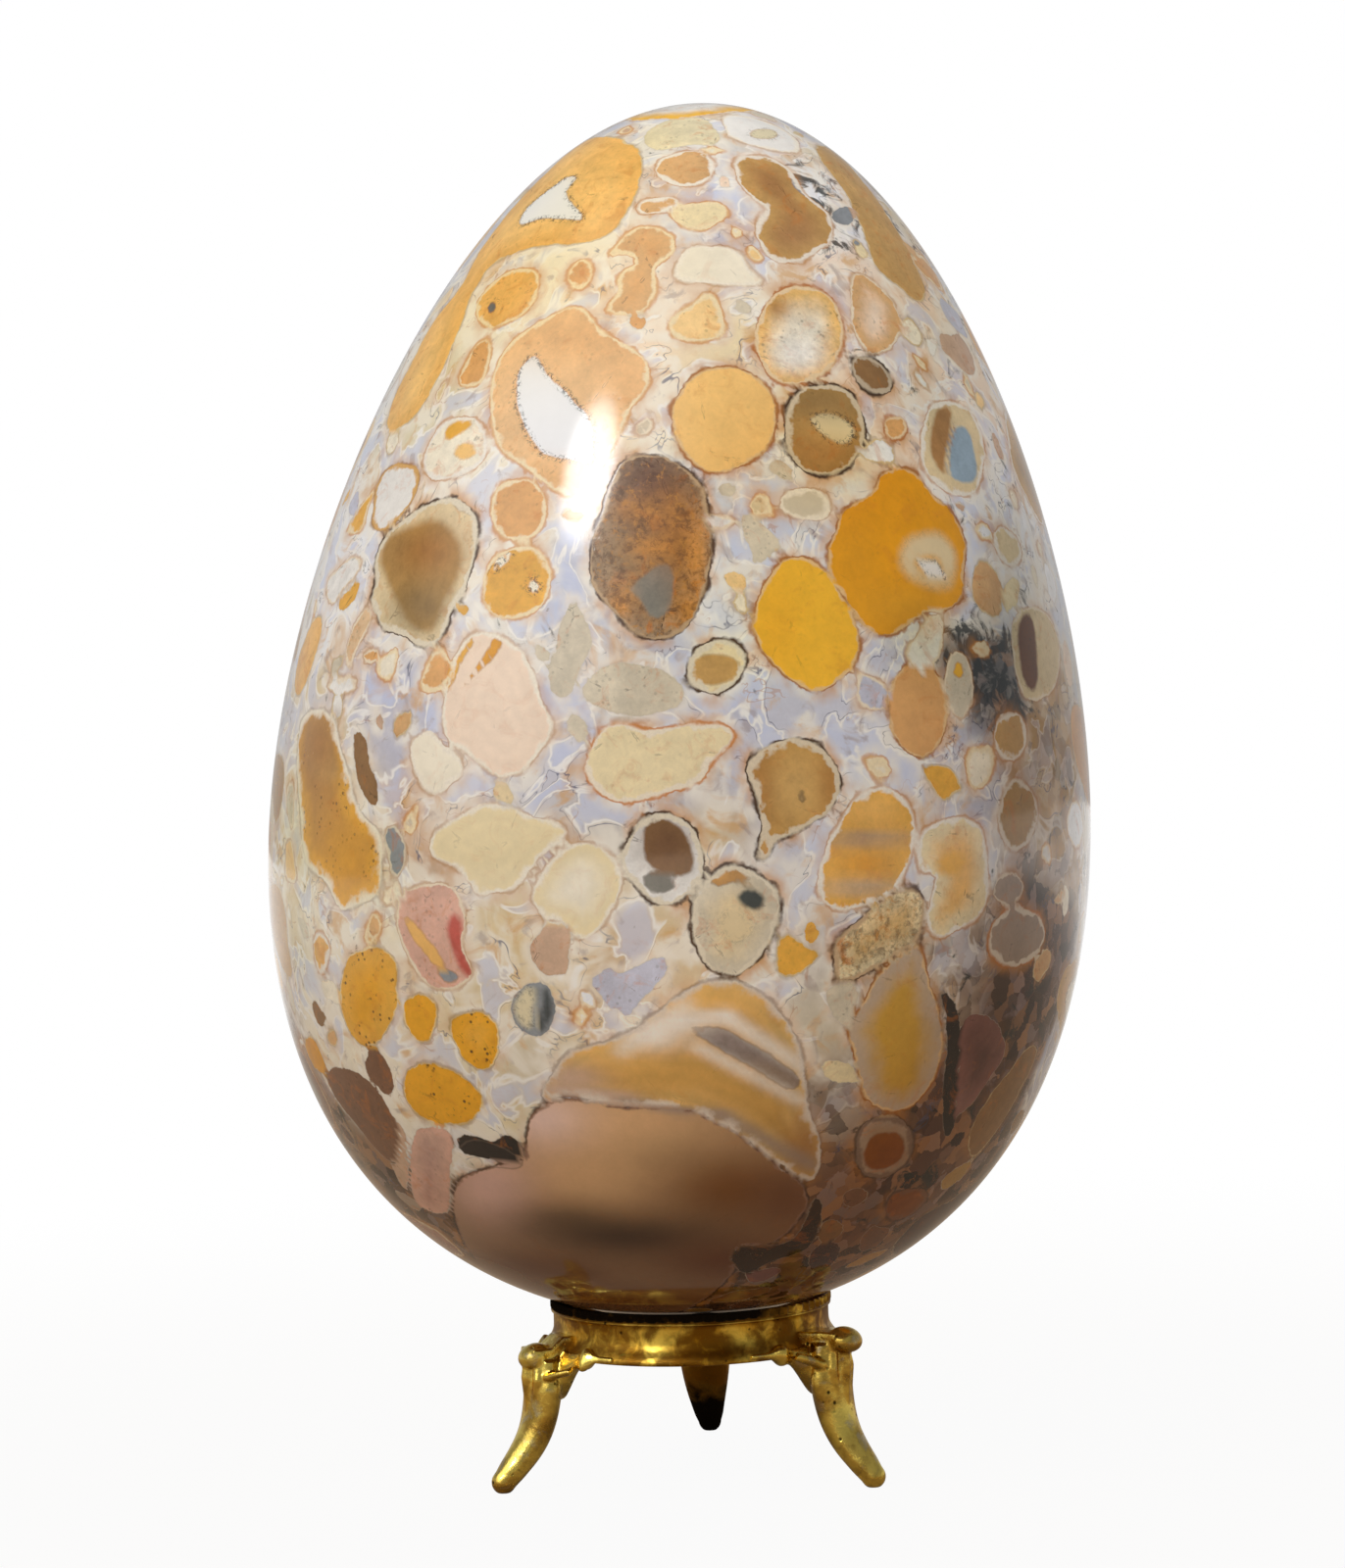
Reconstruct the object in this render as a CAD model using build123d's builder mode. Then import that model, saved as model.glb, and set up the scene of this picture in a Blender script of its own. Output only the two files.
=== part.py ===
"""Polished stone egg resting loose in a small three-legged brass ring stand.

Millimetres, +Z up. The origin is on the table, on the axis of the ring. The rear leg points along +Y.
"""

from build123d import *
from math import cos, exp, pi, radians, sin, sqrt
import os

# Stone egg
egg_height = 119.0
egg_diameter = 80.5
egg_taper = 0.225  # how much slimmer the top is than the bottom
egg_fullness = 0.06  # how far both ends swell past an ellipse
egg_lean = 4.3  # degrees towards +X, as the egg happens to lie in its ring
egg_outline_spans = 16

# Seat ring
stand_height = 17.3  # rim above the table
ring_bore = 25.4
ring_wall = 0.85  # at the waist
ring_depth = 4.8
ring_flare = 0.95  # how far the foot of the band spreads past the waist
foot_band = 0.45  # upright band at the foot of the flare
rim_height = 1.25
rim_overhang = 0.3  # how far the milled rim stands out from the waist
seat_width = 0.35  # width of the bevel that carries the egg
seat_clearance = 0.1
edge_break = 0.12
flute_count = 78
flute_depth = 0.28

# Cast legs
leg_azimuths = {"leg_front_left": -150, "leg_front_right": -30, "leg_rear": 90}
foot_reach = 20.4  # centre of the toe from the axis
toe_diameter = 2.8
toe_grind = 0.3  # height filed off the toe to make it stand flat
head_width = 4.6
head_depth = 2.6
head_drop = 1.6  # top of the shank below the lip's top
knee_width = 6.2
knee_depth = 3.3
calf_width = 5.2
calf_depth = 3.1
ankle_width = 3.9
ankle_depth = 2.9
knee_share = 0.2  # how far down the shank its knee, calf and ankle come
calf_share = 0.48
ankle_share = 0.76
head_gap = 0.65  # between the ring's waist and the back of the leg's head
head_bend = 8.5  # straight pull of the shank down from its head
ankle_bend = 4.5  # straight pull of the shank up from the toe
ankle_splay = 40.0  # degrees from upright at the toe

# Lip that curls outwards at the head of each leg
lip_drop = 2.4  # lip's top below the rim
lip_radius = 1.2
lip_width = 4.2
lip_break = 0.55  # bevel at both ends of the roll
lip_reach = 4.25  # lip's centre out from the waist
neck_width = 3.4  # of the tongue between the ring and the lip
neck_height = 1.8
neck_round = 0.5

# Wings that hug the foot of the ring, each swelling into a bead near its tip
wing_sweep = 33.0  # degrees round the ring to the tip
wing_rise = 0.5  # wing's top above the ring's foot band
wing_root_height = 5.2
wing_root_depth = 3.2
wing_tip_size = 0.6
wing_hollow = 2.4  # a higher power hollows the bracket under the wing
wing_spans = 12
bead_angle = 20.5  # degrees round the ring to the bead
bead_spread = 3.3  # degrees over which the bead swells
bead_swell = 1.3


def egg_point(turn, scale):
    """Point of the egg's outline (radius, height over the middle), turn being 0 at the top."""
    rise = cos(turn)
    radius = scale * sin(turn) * (1 - egg_taper * rise + egg_fullness * rise**2)
    return radius, egg_height / 2 * rise


def egg_slope(turn, scale):
    """Slope of the egg's outline, height over radius."""
    rise = cos(turn)
    swell = 1 - egg_taper * rise + egg_fullness * rise**2
    swell_change = (egg_taper - 2 * egg_fullness * rise) * sin(turn)
    radius_change = scale * (rise * swell + sin(turn) * swell_change)
    return -egg_height / 2 * sin(turn) / radius_change


def egg_turn_at(radius, scale):
    """Turn at which the lower end of the outline has this radius, by halving."""
    low, high = pi / 2, pi
    for _ in range(search_steps):
        middle = (low + high) / 2
        if egg_point(middle, scale)[0] > radius:
            low = middle
        else:
            high = middle
    return low


# Egg outline: the widest of many points sets the scale that gives the egg its diameter
outline_samples = 720
search_steps = 50
widest = max(egg_point(pi * n / outline_samples, 1)[0] for n in range(outline_samples))
egg_scale = egg_diameter / 2 / widest
egg_outline = [
    egg_point(pi - pi * n / egg_outline_spans, egg_scale) for n in range(egg_outline_spans + 1)
]

# Where the egg bears on the seat, and the point of its axis that it rocks about there
rim_top = stand_height
bore_radius = ring_bore / 2
seat_radius = bore_radius + seat_width / 2
seat_turn = egg_turn_at(seat_radius, egg_scale)
seat_slope = egg_slope(seat_turn, egg_scale)
seat_bevel = seat_width * seat_slope
bearing_height = rim_top - seat_bevel / 2 + seat_clearance * sqrt(1 + seat_slope**2)
rock_rise = seat_radius / seat_slope
rock_point = Vector(0, 0, bearing_height + rock_rise)
rock_offset = egg_point(seat_turn, egg_scale)[1] + rock_rise

# Stone egg, revolved about its leaning axis
lean = radians(egg_lean)
egg_axis = Vector(sin(lean), 0, cos(lean))
egg_middle = rock_point - egg_axis * rock_offset
meridian = Plane(origin=egg_middle, x_dir=(cos(lean), 0, -sin(lean)), z_dir=(0, -1, 0))
with BuildPart() as stone_egg:
    with BuildSketch(meridian):
        with BuildLine():
            Spline(egg_outline, tangents=[(1, 0), (-1, 0)], tangent_scalars=[1, 1])
            Line(egg_outline[-1], egg_outline[0])
        make_face()
    revolve(axis=Axis(egg_middle, egg_axis))

# Seat ring: a waisted band with an upright foot, a milled rim and a bevelled seat
waist_radius = bore_radius + ring_wall
foot_radius = waist_radius + ring_flare
rim_radius = waist_radius + rim_overhang
ring_bottom = rim_top - ring_depth
rim_bottom = rim_top - rim_height
foot_top = ring_bottom + foot_band
flare_top = foot_top + ring_flare


def ring_outside():
    """Outer edge of the ring's section, from the foot up to the rim."""
    Line((foot_radius, ring_bottom), (foot_radius, foot_top))
    RadiusArc((foot_radius, foot_top), (waist_radius, flare_top), ring_flare)
    Polyline(
        (waist_radius, flare_top),
        (waist_radius, rim_bottom),
        (rim_radius, rim_bottom),
        (rim_radius, rim_top),
    )


with BuildPart() as seat_ring:
    with BuildSketch(Plane.XZ):
        with BuildLine():
            ring_outside()
            Polyline(
                (rim_radius, rim_top),
                (bore_radius + seat_width, rim_top),
                (bore_radius, rim_top - seat_bevel),
                (bore_radius, ring_bottom),
                (foot_radius, ring_bottom),
            )
        make_face()
    revolve(axis=Axis.Z)
    chamfer(seat_ring.edges().filter_by(GeomType.CIRCLE).group_by(Axis.Z)[0], edge_break)
    with BuildSketch(Plane.XY.offset(rim_top)):
        with PolarLocations(rim_radius, flute_count):
            Rectangle(sqrt(2) * flute_depth, sqrt(2) * flute_depth, rotation=45)
    extrude(amount=-rim_height, mode=Mode.SUBTRACT)

# Plug that fills the ring out to its outer face: the legs are cut to fit against it
with BuildPart() as ring_plug:
    with BuildSketch(Plane.XZ):
        with BuildLine():
            ring_outside()
            Polyline((rim_radius, rim_top), (0, rim_top), (0, ring_bottom), (foot_radius, ring_bottom))
        make_face()
    revolve(axis=Axis.Z)

# Main points of a leg that points along +X
toe_radius = toe_diameter / 2
splay = radians(ankle_splay)
lip_top = rim_top - lip_drop
lip_centre = Vector(waist_radius + lip_reach, 0, lip_top - lip_radius)
head = Vector(waist_radius + head_gap + knee_depth / 2, 0, lip_top - head_drop)
toe = Vector(foot_reach, 0, toe_radius - toe_grind)
head_pull = head - Vector(0, 0, head_bend)
toe_pull = toe + Vector(-sin(splay), 0, cos(splay)) * ankle_bend
wing_top = foot_top + wing_rise

# Lip: a roll across the leg's head, on a tongue that runs out to it from the ring
with BuildPart() as leg_lip:
    with BuildSketch(Plane.XZ):
        with Locations((lip_centre.X, lip_centre.Z)):
            Circle(lip_radius)
    extrude(amount=lip_width / 2, both=True)
    chamfer(leg_lip.edges().filter_by(GeomType.CIRCLE), lip_break)
    with BuildSketch(Plane.YZ.offset(waist_radius)):
        with Locations((0, lip_centre.Z)):
            RectangleRounded(neck_width, neck_height, neck_round)
    extrude(amount=lip_reach)

# Line of the shank, and its sections: share of the way down, width, depth
with BuildLine() as shank_line:
    Bezier(head, head_pull, toe_pull, toe)
shank_sections = [
    (0, head_width, head_depth),
    (knee_share, knee_width, knee_depth),
    (calf_share, calf_width, calf_depth),
    (ankle_share, ankle_width, ankle_depth),
    (1, toe_diameter, toe_diameter),
]


def wing_taper(root, angle):
    """Height or depth of a wing this many degrees round the ring, without its bead."""
    share = (1 + cos(pi * angle / wing_sweep)) / 2
    return wing_tip_size + (root - wing_tip_size) * share**wing_hollow


def wing_plane(angle, height):
    """Plane square to the foot of the ring, this many degrees round it."""
    turn = radians(angle)
    origin = (foot_radius * cos(turn), foot_radius * sin(turn), height)
    return Plane(origin=origin, x_dir=(0, 0, 1), z_dir=(-sin(turn), cos(turn), 0))


# Leg casting: shank, toe, lip and wings, cut to the ring and filed flat at the toe
with BuildPart() as leg_casting:
    for share, width, depth in shank_sections:
        section = Plane(origin=shank_line.line @ share, x_dir=(0, 1, 0), z_dir=shank_line.line % share)
        with BuildSketch(section):
            Ellipse(width / 2, depth / 2)
    loft()
    with Locations(toe):
        Sphere(toe_radius)
    add(leg_lip.part)
    for span in range(-wing_spans, wing_spans + 1):
        angle = wing_sweep * span / wing_spans
        bead = bead_swell * exp(-(((abs(angle) - bead_angle) / bead_spread) ** 2))
        height = wing_taper(wing_root_height, angle)
        depth = wing_taper(wing_root_depth, angle)
        with BuildSketch(wing_plane(angle, wing_top - height / 2)):
            Ellipse((height + bead) / 2, (depth + bead) / 2)
    loft()
    add(ring_plug.part, mode=Mode.SUBTRACT)
    with BuildSketch(Plane.XY):
        with Locations((foot_reach, 0)):
            Circle(2 * toe_diameter)
    extrude(amount=-toe_diameter, mode=Mode.SUBTRACT)

os.makedirs("parts", exist_ok=True)
stone_egg.part.label = "stone_egg"
export_step(stone_egg.part, "parts/stone_egg.step")
seat_ring.part.label = "seat_ring"
export_step(seat_ring.part, "parts/seat_ring.step")
for leg_name, azimuth in leg_azimuths.items():
    with BuildPart() as leg:
        add(leg_casting.part, rotation=(0, 0, azimuth))
    leg.part.label = leg_name
    export_step(leg.part, f"parts/{leg_name}.step")

print(f"egg {stone_egg.part.volume:.0f} mm3, ring {seat_ring.part.volume:.0f}, leg {leg.part.volume:.0f}")
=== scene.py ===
import bmesh
import bpy
import numpy as np
from math import cos, exp, pi, radians, sin
from mathutils import Matrix, Vector


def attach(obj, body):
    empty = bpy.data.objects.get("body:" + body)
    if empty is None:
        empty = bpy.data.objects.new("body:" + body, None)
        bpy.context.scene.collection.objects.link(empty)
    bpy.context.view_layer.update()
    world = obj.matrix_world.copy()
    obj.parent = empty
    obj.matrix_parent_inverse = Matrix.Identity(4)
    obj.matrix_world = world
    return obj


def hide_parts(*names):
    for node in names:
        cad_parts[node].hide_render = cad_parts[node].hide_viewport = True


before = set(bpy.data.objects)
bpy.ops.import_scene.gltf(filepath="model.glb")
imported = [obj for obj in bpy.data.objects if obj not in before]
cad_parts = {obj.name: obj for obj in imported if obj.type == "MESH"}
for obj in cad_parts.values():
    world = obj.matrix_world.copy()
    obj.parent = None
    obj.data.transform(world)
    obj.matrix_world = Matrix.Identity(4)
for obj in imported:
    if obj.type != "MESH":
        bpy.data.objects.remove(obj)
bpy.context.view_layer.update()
mm = 0.001
scene = bpy.context.scene
scene.view_settings.view_transform = "Standard"
print("frame loaded:", ", ".join(sorted(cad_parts)))


def linear(tone):  # screen colour 0-255 to the renderer's own
    return [c / 12.92 if c <= 0.04045 else ((c + 0.055) / 1.055) ** 2.4 for c in (v / 255 for v in tone)]


def clip(value):
    return min(1.0, max(0.0, value))


# Camera, at the height of the egg's middle and turned slightly clockwise
cameraSet = {"distance": 367.0, "azimuth": 4.52, "elevation": 0.66, "roll": -1.84, "aimX": -0.15, "aimZ": 67.63,
             "focal": 3800.0, "image": (1372, 1600), "sensor": 36.0, "near": 0.01}
azimuth, elevation, roll = (radians(cameraSet[key]) for key in ("azimuth", "elevation", "roll"))
viewBack = Vector((sin(azimuth) * cos(elevation), -cos(azimuth) * cos(elevation), sin(elevation)))
levelRight = Vector((cos(azimuth), sin(azimuth), 0))
levelUp = viewBack.cross(levelRight)
viewRight = levelRight * cos(roll) + levelUp * sin(roll)
viewUp = levelUp * cos(roll) - levelRight * sin(roll)
eyePoint = Vector((cameraSet["aimX"], 0, cameraSet["aimZ"])) + viewBack * cameraSet["distance"]
cameraData = bpy.data.cameras.new("photoCamera")
cameraData.sensor_width = cameraSet["sensor"]
cameraData.lens = cameraSet["focal"] / cameraSet["image"][1] * cameraSet["sensor"]
cameraData.clip_start = cameraSet["near"]
camera = bpy.data.objects.new("photoCamera", cameraData)
scene.collection.objects.link(camera)
turn = Matrix((viewRight, viewUp, viewBack)).transposed().to_4x4()
camera.matrix_world = Matrix.Translation(eyePoint * mm) @ turn
scene.camera = camera
print("camera set")


# Small helpers for shader trees
def plug(tree, value, socket):
    if isinstance(value, bpy.types.NodeSocket):
        tree.links.new(value, socket)
    else:
        socket.default_value = value


def calc(tree, operation, *values, clamp=False):
    node = tree.nodes.new("ShaderNodeMath")
    node.operation = operation
    node.use_clamp = clamp
    for value, socket in zip(values, node.inputs):
        plug(tree, value, socket)
    return node.outputs[0]


def times(tree, first, second, clamp=False):
    return calc(tree, "MULTIPLY", first, second, clamp=clamp)


def plus(tree, first, second):
    return calc(tree, "ADD", first, second)


def rest(tree, share, clamp=False):  # what a share leaves of 1
    return calc(tree, "SUBTRACT", 1.0, share, clamp=clamp)


def offBy(tree, value, middle):  # distance from a value, either side
    return calc(tree, "ABSOLUTE", calc(tree, "SUBTRACT", value, middle))


def ease(tree, value, low, high, start=0.0, end=1.0):  # soft step from low to high
    node = tree.nodes.new("ShaderNodeMapRange")
    node.interpolation_type = "SMOOTHSTEP"
    for name, entry in (("Value", value), ("From Min", low), ("From Max", high), ("To Min", start), ("To Max", end)):
        plug(tree, entry, node.inputs[name])
    return node.outputs["Result"]


def tint(tree, share, under, over, mode="MIX"):
    node = tree.nodes.new("ShaderNodeMix")
    node.data_type = "RGBA"
    node.blend_type = mode
    for entry, place in ((share, 0), (under, 6), (over, 7)):
        plug(tree, entry, node.inputs[place])
    return node.outputs[2]


def paint(tone):
    return linear(tone) + [1.0]


def dim(tree, colour, strength):  # colour times a value
    node = tree.nodes.new("ShaderNodeVectorMath")
    node.operation = "SCALE"
    plug(tree, colour, node.inputs[0])
    plug(tree, strength, node.inputs["Scale"])
    return node.outputs[0]


def vary(tree, colour, swing):  # colour made lighter and darker by a value either side of 0
    return dim(tree, colour, plus(tree, 1.0, swing))


def split(tree, colour):
    node = tree.nodes.new("ShaderNodeSeparateColor")
    tree.links.new(colour, node.inputs[0])
    return node.outputs


def noiseNode(tree, place, size, detail=2.0, wander=0.0, roughness=0.5):  # spots about size mm across
    node = tree.nodes.new("ShaderNodeTexNoise")
    node.inputs["Scale"].default_value = 1 / (size * mm)
    node.inputs["Detail"].default_value = detail
    node.inputs["Roughness"].default_value = roughness
    node.inputs["Distortion"].default_value = wander
    tree.links.new(place, node.inputs["Vector"])
    return node.outputs


def cells(tree, place, size, feature="F1"):
    node = tree.nodes.new("ShaderNodeTexVoronoi")
    node.feature = feature
    node.inputs["Scale"].default_value = 1 / (size * mm)
    tree.links.new(place, node.inputs["Vector"])
    return node.outputs


def carried(tree, name):  # a painted attribute
    node = tree.nodes.new("ShaderNodeAttribute")
    node.attribute_name = name
    return node.outputs


def brushes(tree, place, settings):  # ways to lay the noises, steps and tones of a piece's settings
    def noise(name):
        return noiseNode(tree, place, *settings["noises"][name])["Fac"]

    def step(value, name):
        return ease(tree, value, *settings["steps"][name])

    def patch(name):
        return step(noise(name), name)

    def coat(under, share, name):
        return tint(tree, share, under, paint(settings["tones"][name]))

    return noise, step, patch, coat


def newMaterial(name):
    material = bpy.data.materials.new(name)
    material.use_nodes = True
    tree = material.node_tree
    place = tree.nodes.new("ShaderNodeTexCoord").outputs["Object"]
    return material, tree, tree.nodes["Principled BSDF"], place


def addBump(tree, shader, height, strength, depth):  # depth in mm
    node = tree.nodes.new("ShaderNodeBump")
    node.inputs["Strength"].default_value = strength
    node.inputs["Distance"].default_value = depth * mm
    tree.links.new(height, node.inputs["Height"])
    tree.links.new(node.outputs["Normal"], shader.inputs["Normal"])


# Small helpers for meshes, which are made in mm
weld = 0.001


def spun(outline, steps, closed):  # outline of radius and height, turned about the upright axis
    bm = bmesh.new()
    row = [bm.verts.new((radius, 0, height)) for radius, height in outline]
    for first, second in zip(row, row[1:] + row[:closed]):
        bm.edges.new((first, second))
    bmesh.ops.spin(bm, geom=bm.verts[:] + bm.edges[:], cent=(0, 0, 0), axis=(0, 0, 1), angle=2 * pi, steps=steps,
                   use_merge=True)
    bmesh.ops.remove_doubles(bm, verts=bm.verts[:], dist=weld)
    bmesh.ops.recalc_face_normals(bm, faces=bm.faces[:])
    return bm


def newObject(name, bm):
    mesh = bpy.data.meshes.new(name)
    bm.to_mesh(mesh)
    bm.free()
    made = bpy.data.objects.new(name, mesh)
    scene.collection.objects.link(made)
    return made


def newPiece(name, bm, material, body, slot, *nodes):  # mesh in mm becomes a piece that stands for CAD nodes
    bmesh.ops.scale(bm, vec=(mm, mm, mm), verts=bm.verts[:])
    piece = newObject(name, bm)
    piece.data.polygons.foreach_set("use_smooth", [True] * len(piece.data.polygons))
    piece.data.materials.append(material)
    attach(piece, body)
    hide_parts(*nodes)
    return piece


# Stone egg: one outline spun about its leaning axis
eggSet = {"height": 119.0, "scale": 39.2054, "taper": 0.225, "fullness": 0.06, "lean": 4.3,
          "middle": (1.3317, 0.0, 74.7858), "rows": 250, "steps": 384, "search": (-70, 70, 1401), "slopeStep": 0.05}
leanAngle = radians(eggSet["lean"])
eggAxes = np.array([[cos(leanAngle), 0, -sin(leanAngle)], [0, 1, 0], [sin(leanAngle), 0, cos(leanAngle)]])
eggMiddle = np.array(eggSet["middle"])


def eggRadius(rise):  # rise is 1 at the top and -1 at the bottom
    swell = 1 - eggSet["taper"] * rise + eggSet["fullness"] * rise**2
    return eggSet["scale"] * np.sqrt(np.clip(1 - rise**2, 0, 1)) * swell


def makeEgg():
    turns = [pi * row / eggSet["rows"] for row in range(eggSet["rows"] + 1)]
    bm = spun([(eggRadius(cos(t)), eggSet["height"] / 2 * cos(t)) for t in turns], eggSet["steps"], False)
    bmesh.ops.rotate(bm, cent=(0, 0, 0), matrix=Matrix.Rotation(leanAngle, 3, "Y"), verts=bm.verts[:])
    bmesh.ops.translate(bm, vec=eggSet["middle"], verts=bm.verts[:])
    return bm


def eggDepth(points):  # above 0 inside the egg
    local = (points - eggMiddle) @ eggAxes.T
    rise = np.clip(local[..., 2] / (eggSet["height"] / 2), -1, 1)
    return eggRadius(rise) - np.hypot(local[..., 0], local[..., 1])


def eggNormal(points):
    steps = eggSet["slopeStep"] * np.eye(3)
    normal = np.stack([eggDepth(points - step) - eggDepth(points + step) for step in steps], -1)
    return normal / np.linalg.norm(normal, axis=-1, keepdims=True)


def onEgg(pixels):  # points of the egg behind places in the picture
    pixels = np.atleast_2d(np.array(pixels, float))
    width, height = cameraSet["image"]
    across = (pixels[:, :1] - width / 2) / cameraSet["focal"]
    down = (pixels[:, 1:] - height / 2) / cameraSet["focal"]
    rays = across * np.array(viewRight) - down * np.array(viewUp) - np.array(viewBack)
    reach = cameraSet["distance"] + np.linspace(*eggSet["search"])
    spots = np.array(eyePoint) + rays[:, None, :] * reach[None, :, None]
    depth = eggDepth(spots)
    hit = np.where((depth > 0).any(1), (depth > 0).argmax(1), depth.argmax(1))
    return spots[np.arange(len(spots)), hit]


# Tones of the stone, as the polished surface shows them
tones = {name: linear(tone) for name, tone in {
    "honey": (250, 204, 128), "paleHoney": (248, 212, 152), "goldHoney": (242, 190, 108), "amber": (228, 160, 30),
    "deepAmber": (238, 164, 14), "yellow": (250, 192, 52), "orangeAmber": (238, 180, 72),
    "orangeTan": (240, 196, 142), "peach": (228, 196, 157), "tan": (222, 178, 126), "warmTan": (226, 172, 110),
    "oliveTan": (204, 162, 98), "brown": (176, 130, 78), "rustBrown": (196, 146, 78), "darkBrown": (146, 110, 70),
    "mottledBrown": (184, 148, 112), "olive": (180, 142, 82), "cream": (248, 240, 222), "creamTan": (242, 226, 186),
    "sand": (230, 210, 170), "white": (242, 240, 238), "ice": (244, 247, 255), "lavender": (200, 202, 222),
    "paleBlue": (176, 190, 212), "blueWindow": (152, 175, 196), "grey": (134, 132, 124), "darkGrey": (116, 114, 116),
    "beige": (218, 208, 188), "pinkCream": (248, 226, 206), "pink": (208, 176, 152), "salmon": (190, 142, 130),
    "red": (196, 90, 78), "lilac": (172, 152, 136), "greyLilac": (140, 126, 122), "taupe": (164, 128, 96),
    "plum": (130, 94, 72), "darkPlum": (96, 66, 46), "maroon": (86, 62, 58), "rust": (112, 64, 20),
    "black": (52, 46, 44), "greenBlack": (60, 66, 62), "moss": (228, 217, 185), "mauve": (142, 98, 92),
    "steel": (146, 152, 160), "khaki": (176, 144, 106), "dustyRose": (152, 118, 116), "paleRose": (204, 176, 164),
    "darkUmber": (66, 48, 36), "goldTan": (216, 178, 114), "goldBrown": (204, 158, 86), "mauveGrey": (160, 140, 128),
    "rustTan": (160, 104, 58), "deepBrown": (98, 64, 46), "smokeTan": (172, 146, 116), "lilacTan": (202, 180, 158),
    "oliveGold": (212, 165, 66), "brightAmber": (240, 174, 44), "oliveSmoke": (128, 106, 72),
    "warmBrown": (164, 108, 48), "slate": (70, 76, 80), "blush": (226, 180, 162), "pearl": (242, 234, 226),
    "paleKhaki": (228, 184, 138), "rosePearl": (246, 214, 206), "roseTan": (228, 188, 178), "chestnut": (124, 76, 30),
    "rustOrange": (138, 78, 14), "oxblood": (112, 66, 40), "goldGrain": (216, 146, 58)}.items()}

# How a kind of stone is edged: rim tone, width in mm and softness, outline tone and strength, specks, bands, mottle
edges = {
    "white": ((248, 242, 234), 0.5, 0.4, (192, 126, 50), 0.6, 0.15, 0.0, 1.0),
    "cream": ((248, 230, 194), 0.5, 0.5, (208, 136, 46), 0.65, 0.3, 0.0, 1.0),
    "halo": ((252, 246, 234), 0.85, 0.8, (120, 90, 64), 0.35, 1.0, 0.0, 0.7),
    "pinkRim": ((236, 200, 150), 0.3, 0.5, (168, 102, 38), 0.9, 0.1, 0.0, 0.6),
    "amberRim": ((222, 172, 96), 0.5, 0.4, (150, 100, 50), 0.6, 0.1, 0.0, 0.6),
    "taupeRim": ((130, 104, 90), 0.6, 0.5, (60, 44, 36), 0.6, 0.2, 0.0, 1.0),
    "fine": ((244, 230, 208), 0.3, 0.4, (184, 126, 64), 0.5, 0.25, 0.15, 1.0),
    "rust": ((240, 214, 176), 0.35, 0.3, (182, 106, 40), 0.85, 0.5, 0.0, 1.2),
    "orangeLine": ((246, 234, 216), 0.5, 0.3, (206, 128, 52), 0.85, 0.1, 0.1, 0.7),
    "dark": ((234, 224, 204), 0.55, 0.3, (84, 62, 46), 1.0, 0.2, 0.0, 1.0),
    "plain": ((236, 214, 170), 0.15, 0.3, (140, 104, 60), 0.35, 0.2, 0.2, 1.0),
    "bands": ((226, 214, 204), 0.7, 0.9, (130, 100, 84), 0.5, 0.0, 0.5, 0.5),
    "smooth": ((150, 112, 100), 0.3, 0.6, (58, 40, 34), 0.8, 0.05, 0.0, 0.35),
    "rich": ((206, 176, 140), 0.4, 0.5, (84, 56, 38), 0.95, 0.3, 0.0, 2.2),
    "clear": ((250, 242, 228), 0.5, 0.6, (180, 130, 80), 0.5, 0.0, 0.12, 0.35),
    "grainy": ((250, 226, 170), 0.15, 0.5, (150, 110, 60), 0.5, 1.0, 0.0, 0.8),
    "none": ((222, 214, 204), 0.05, 0.2, (150, 130, 116), 0.1, 0.3, 0.2, 1.0),
}

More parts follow.
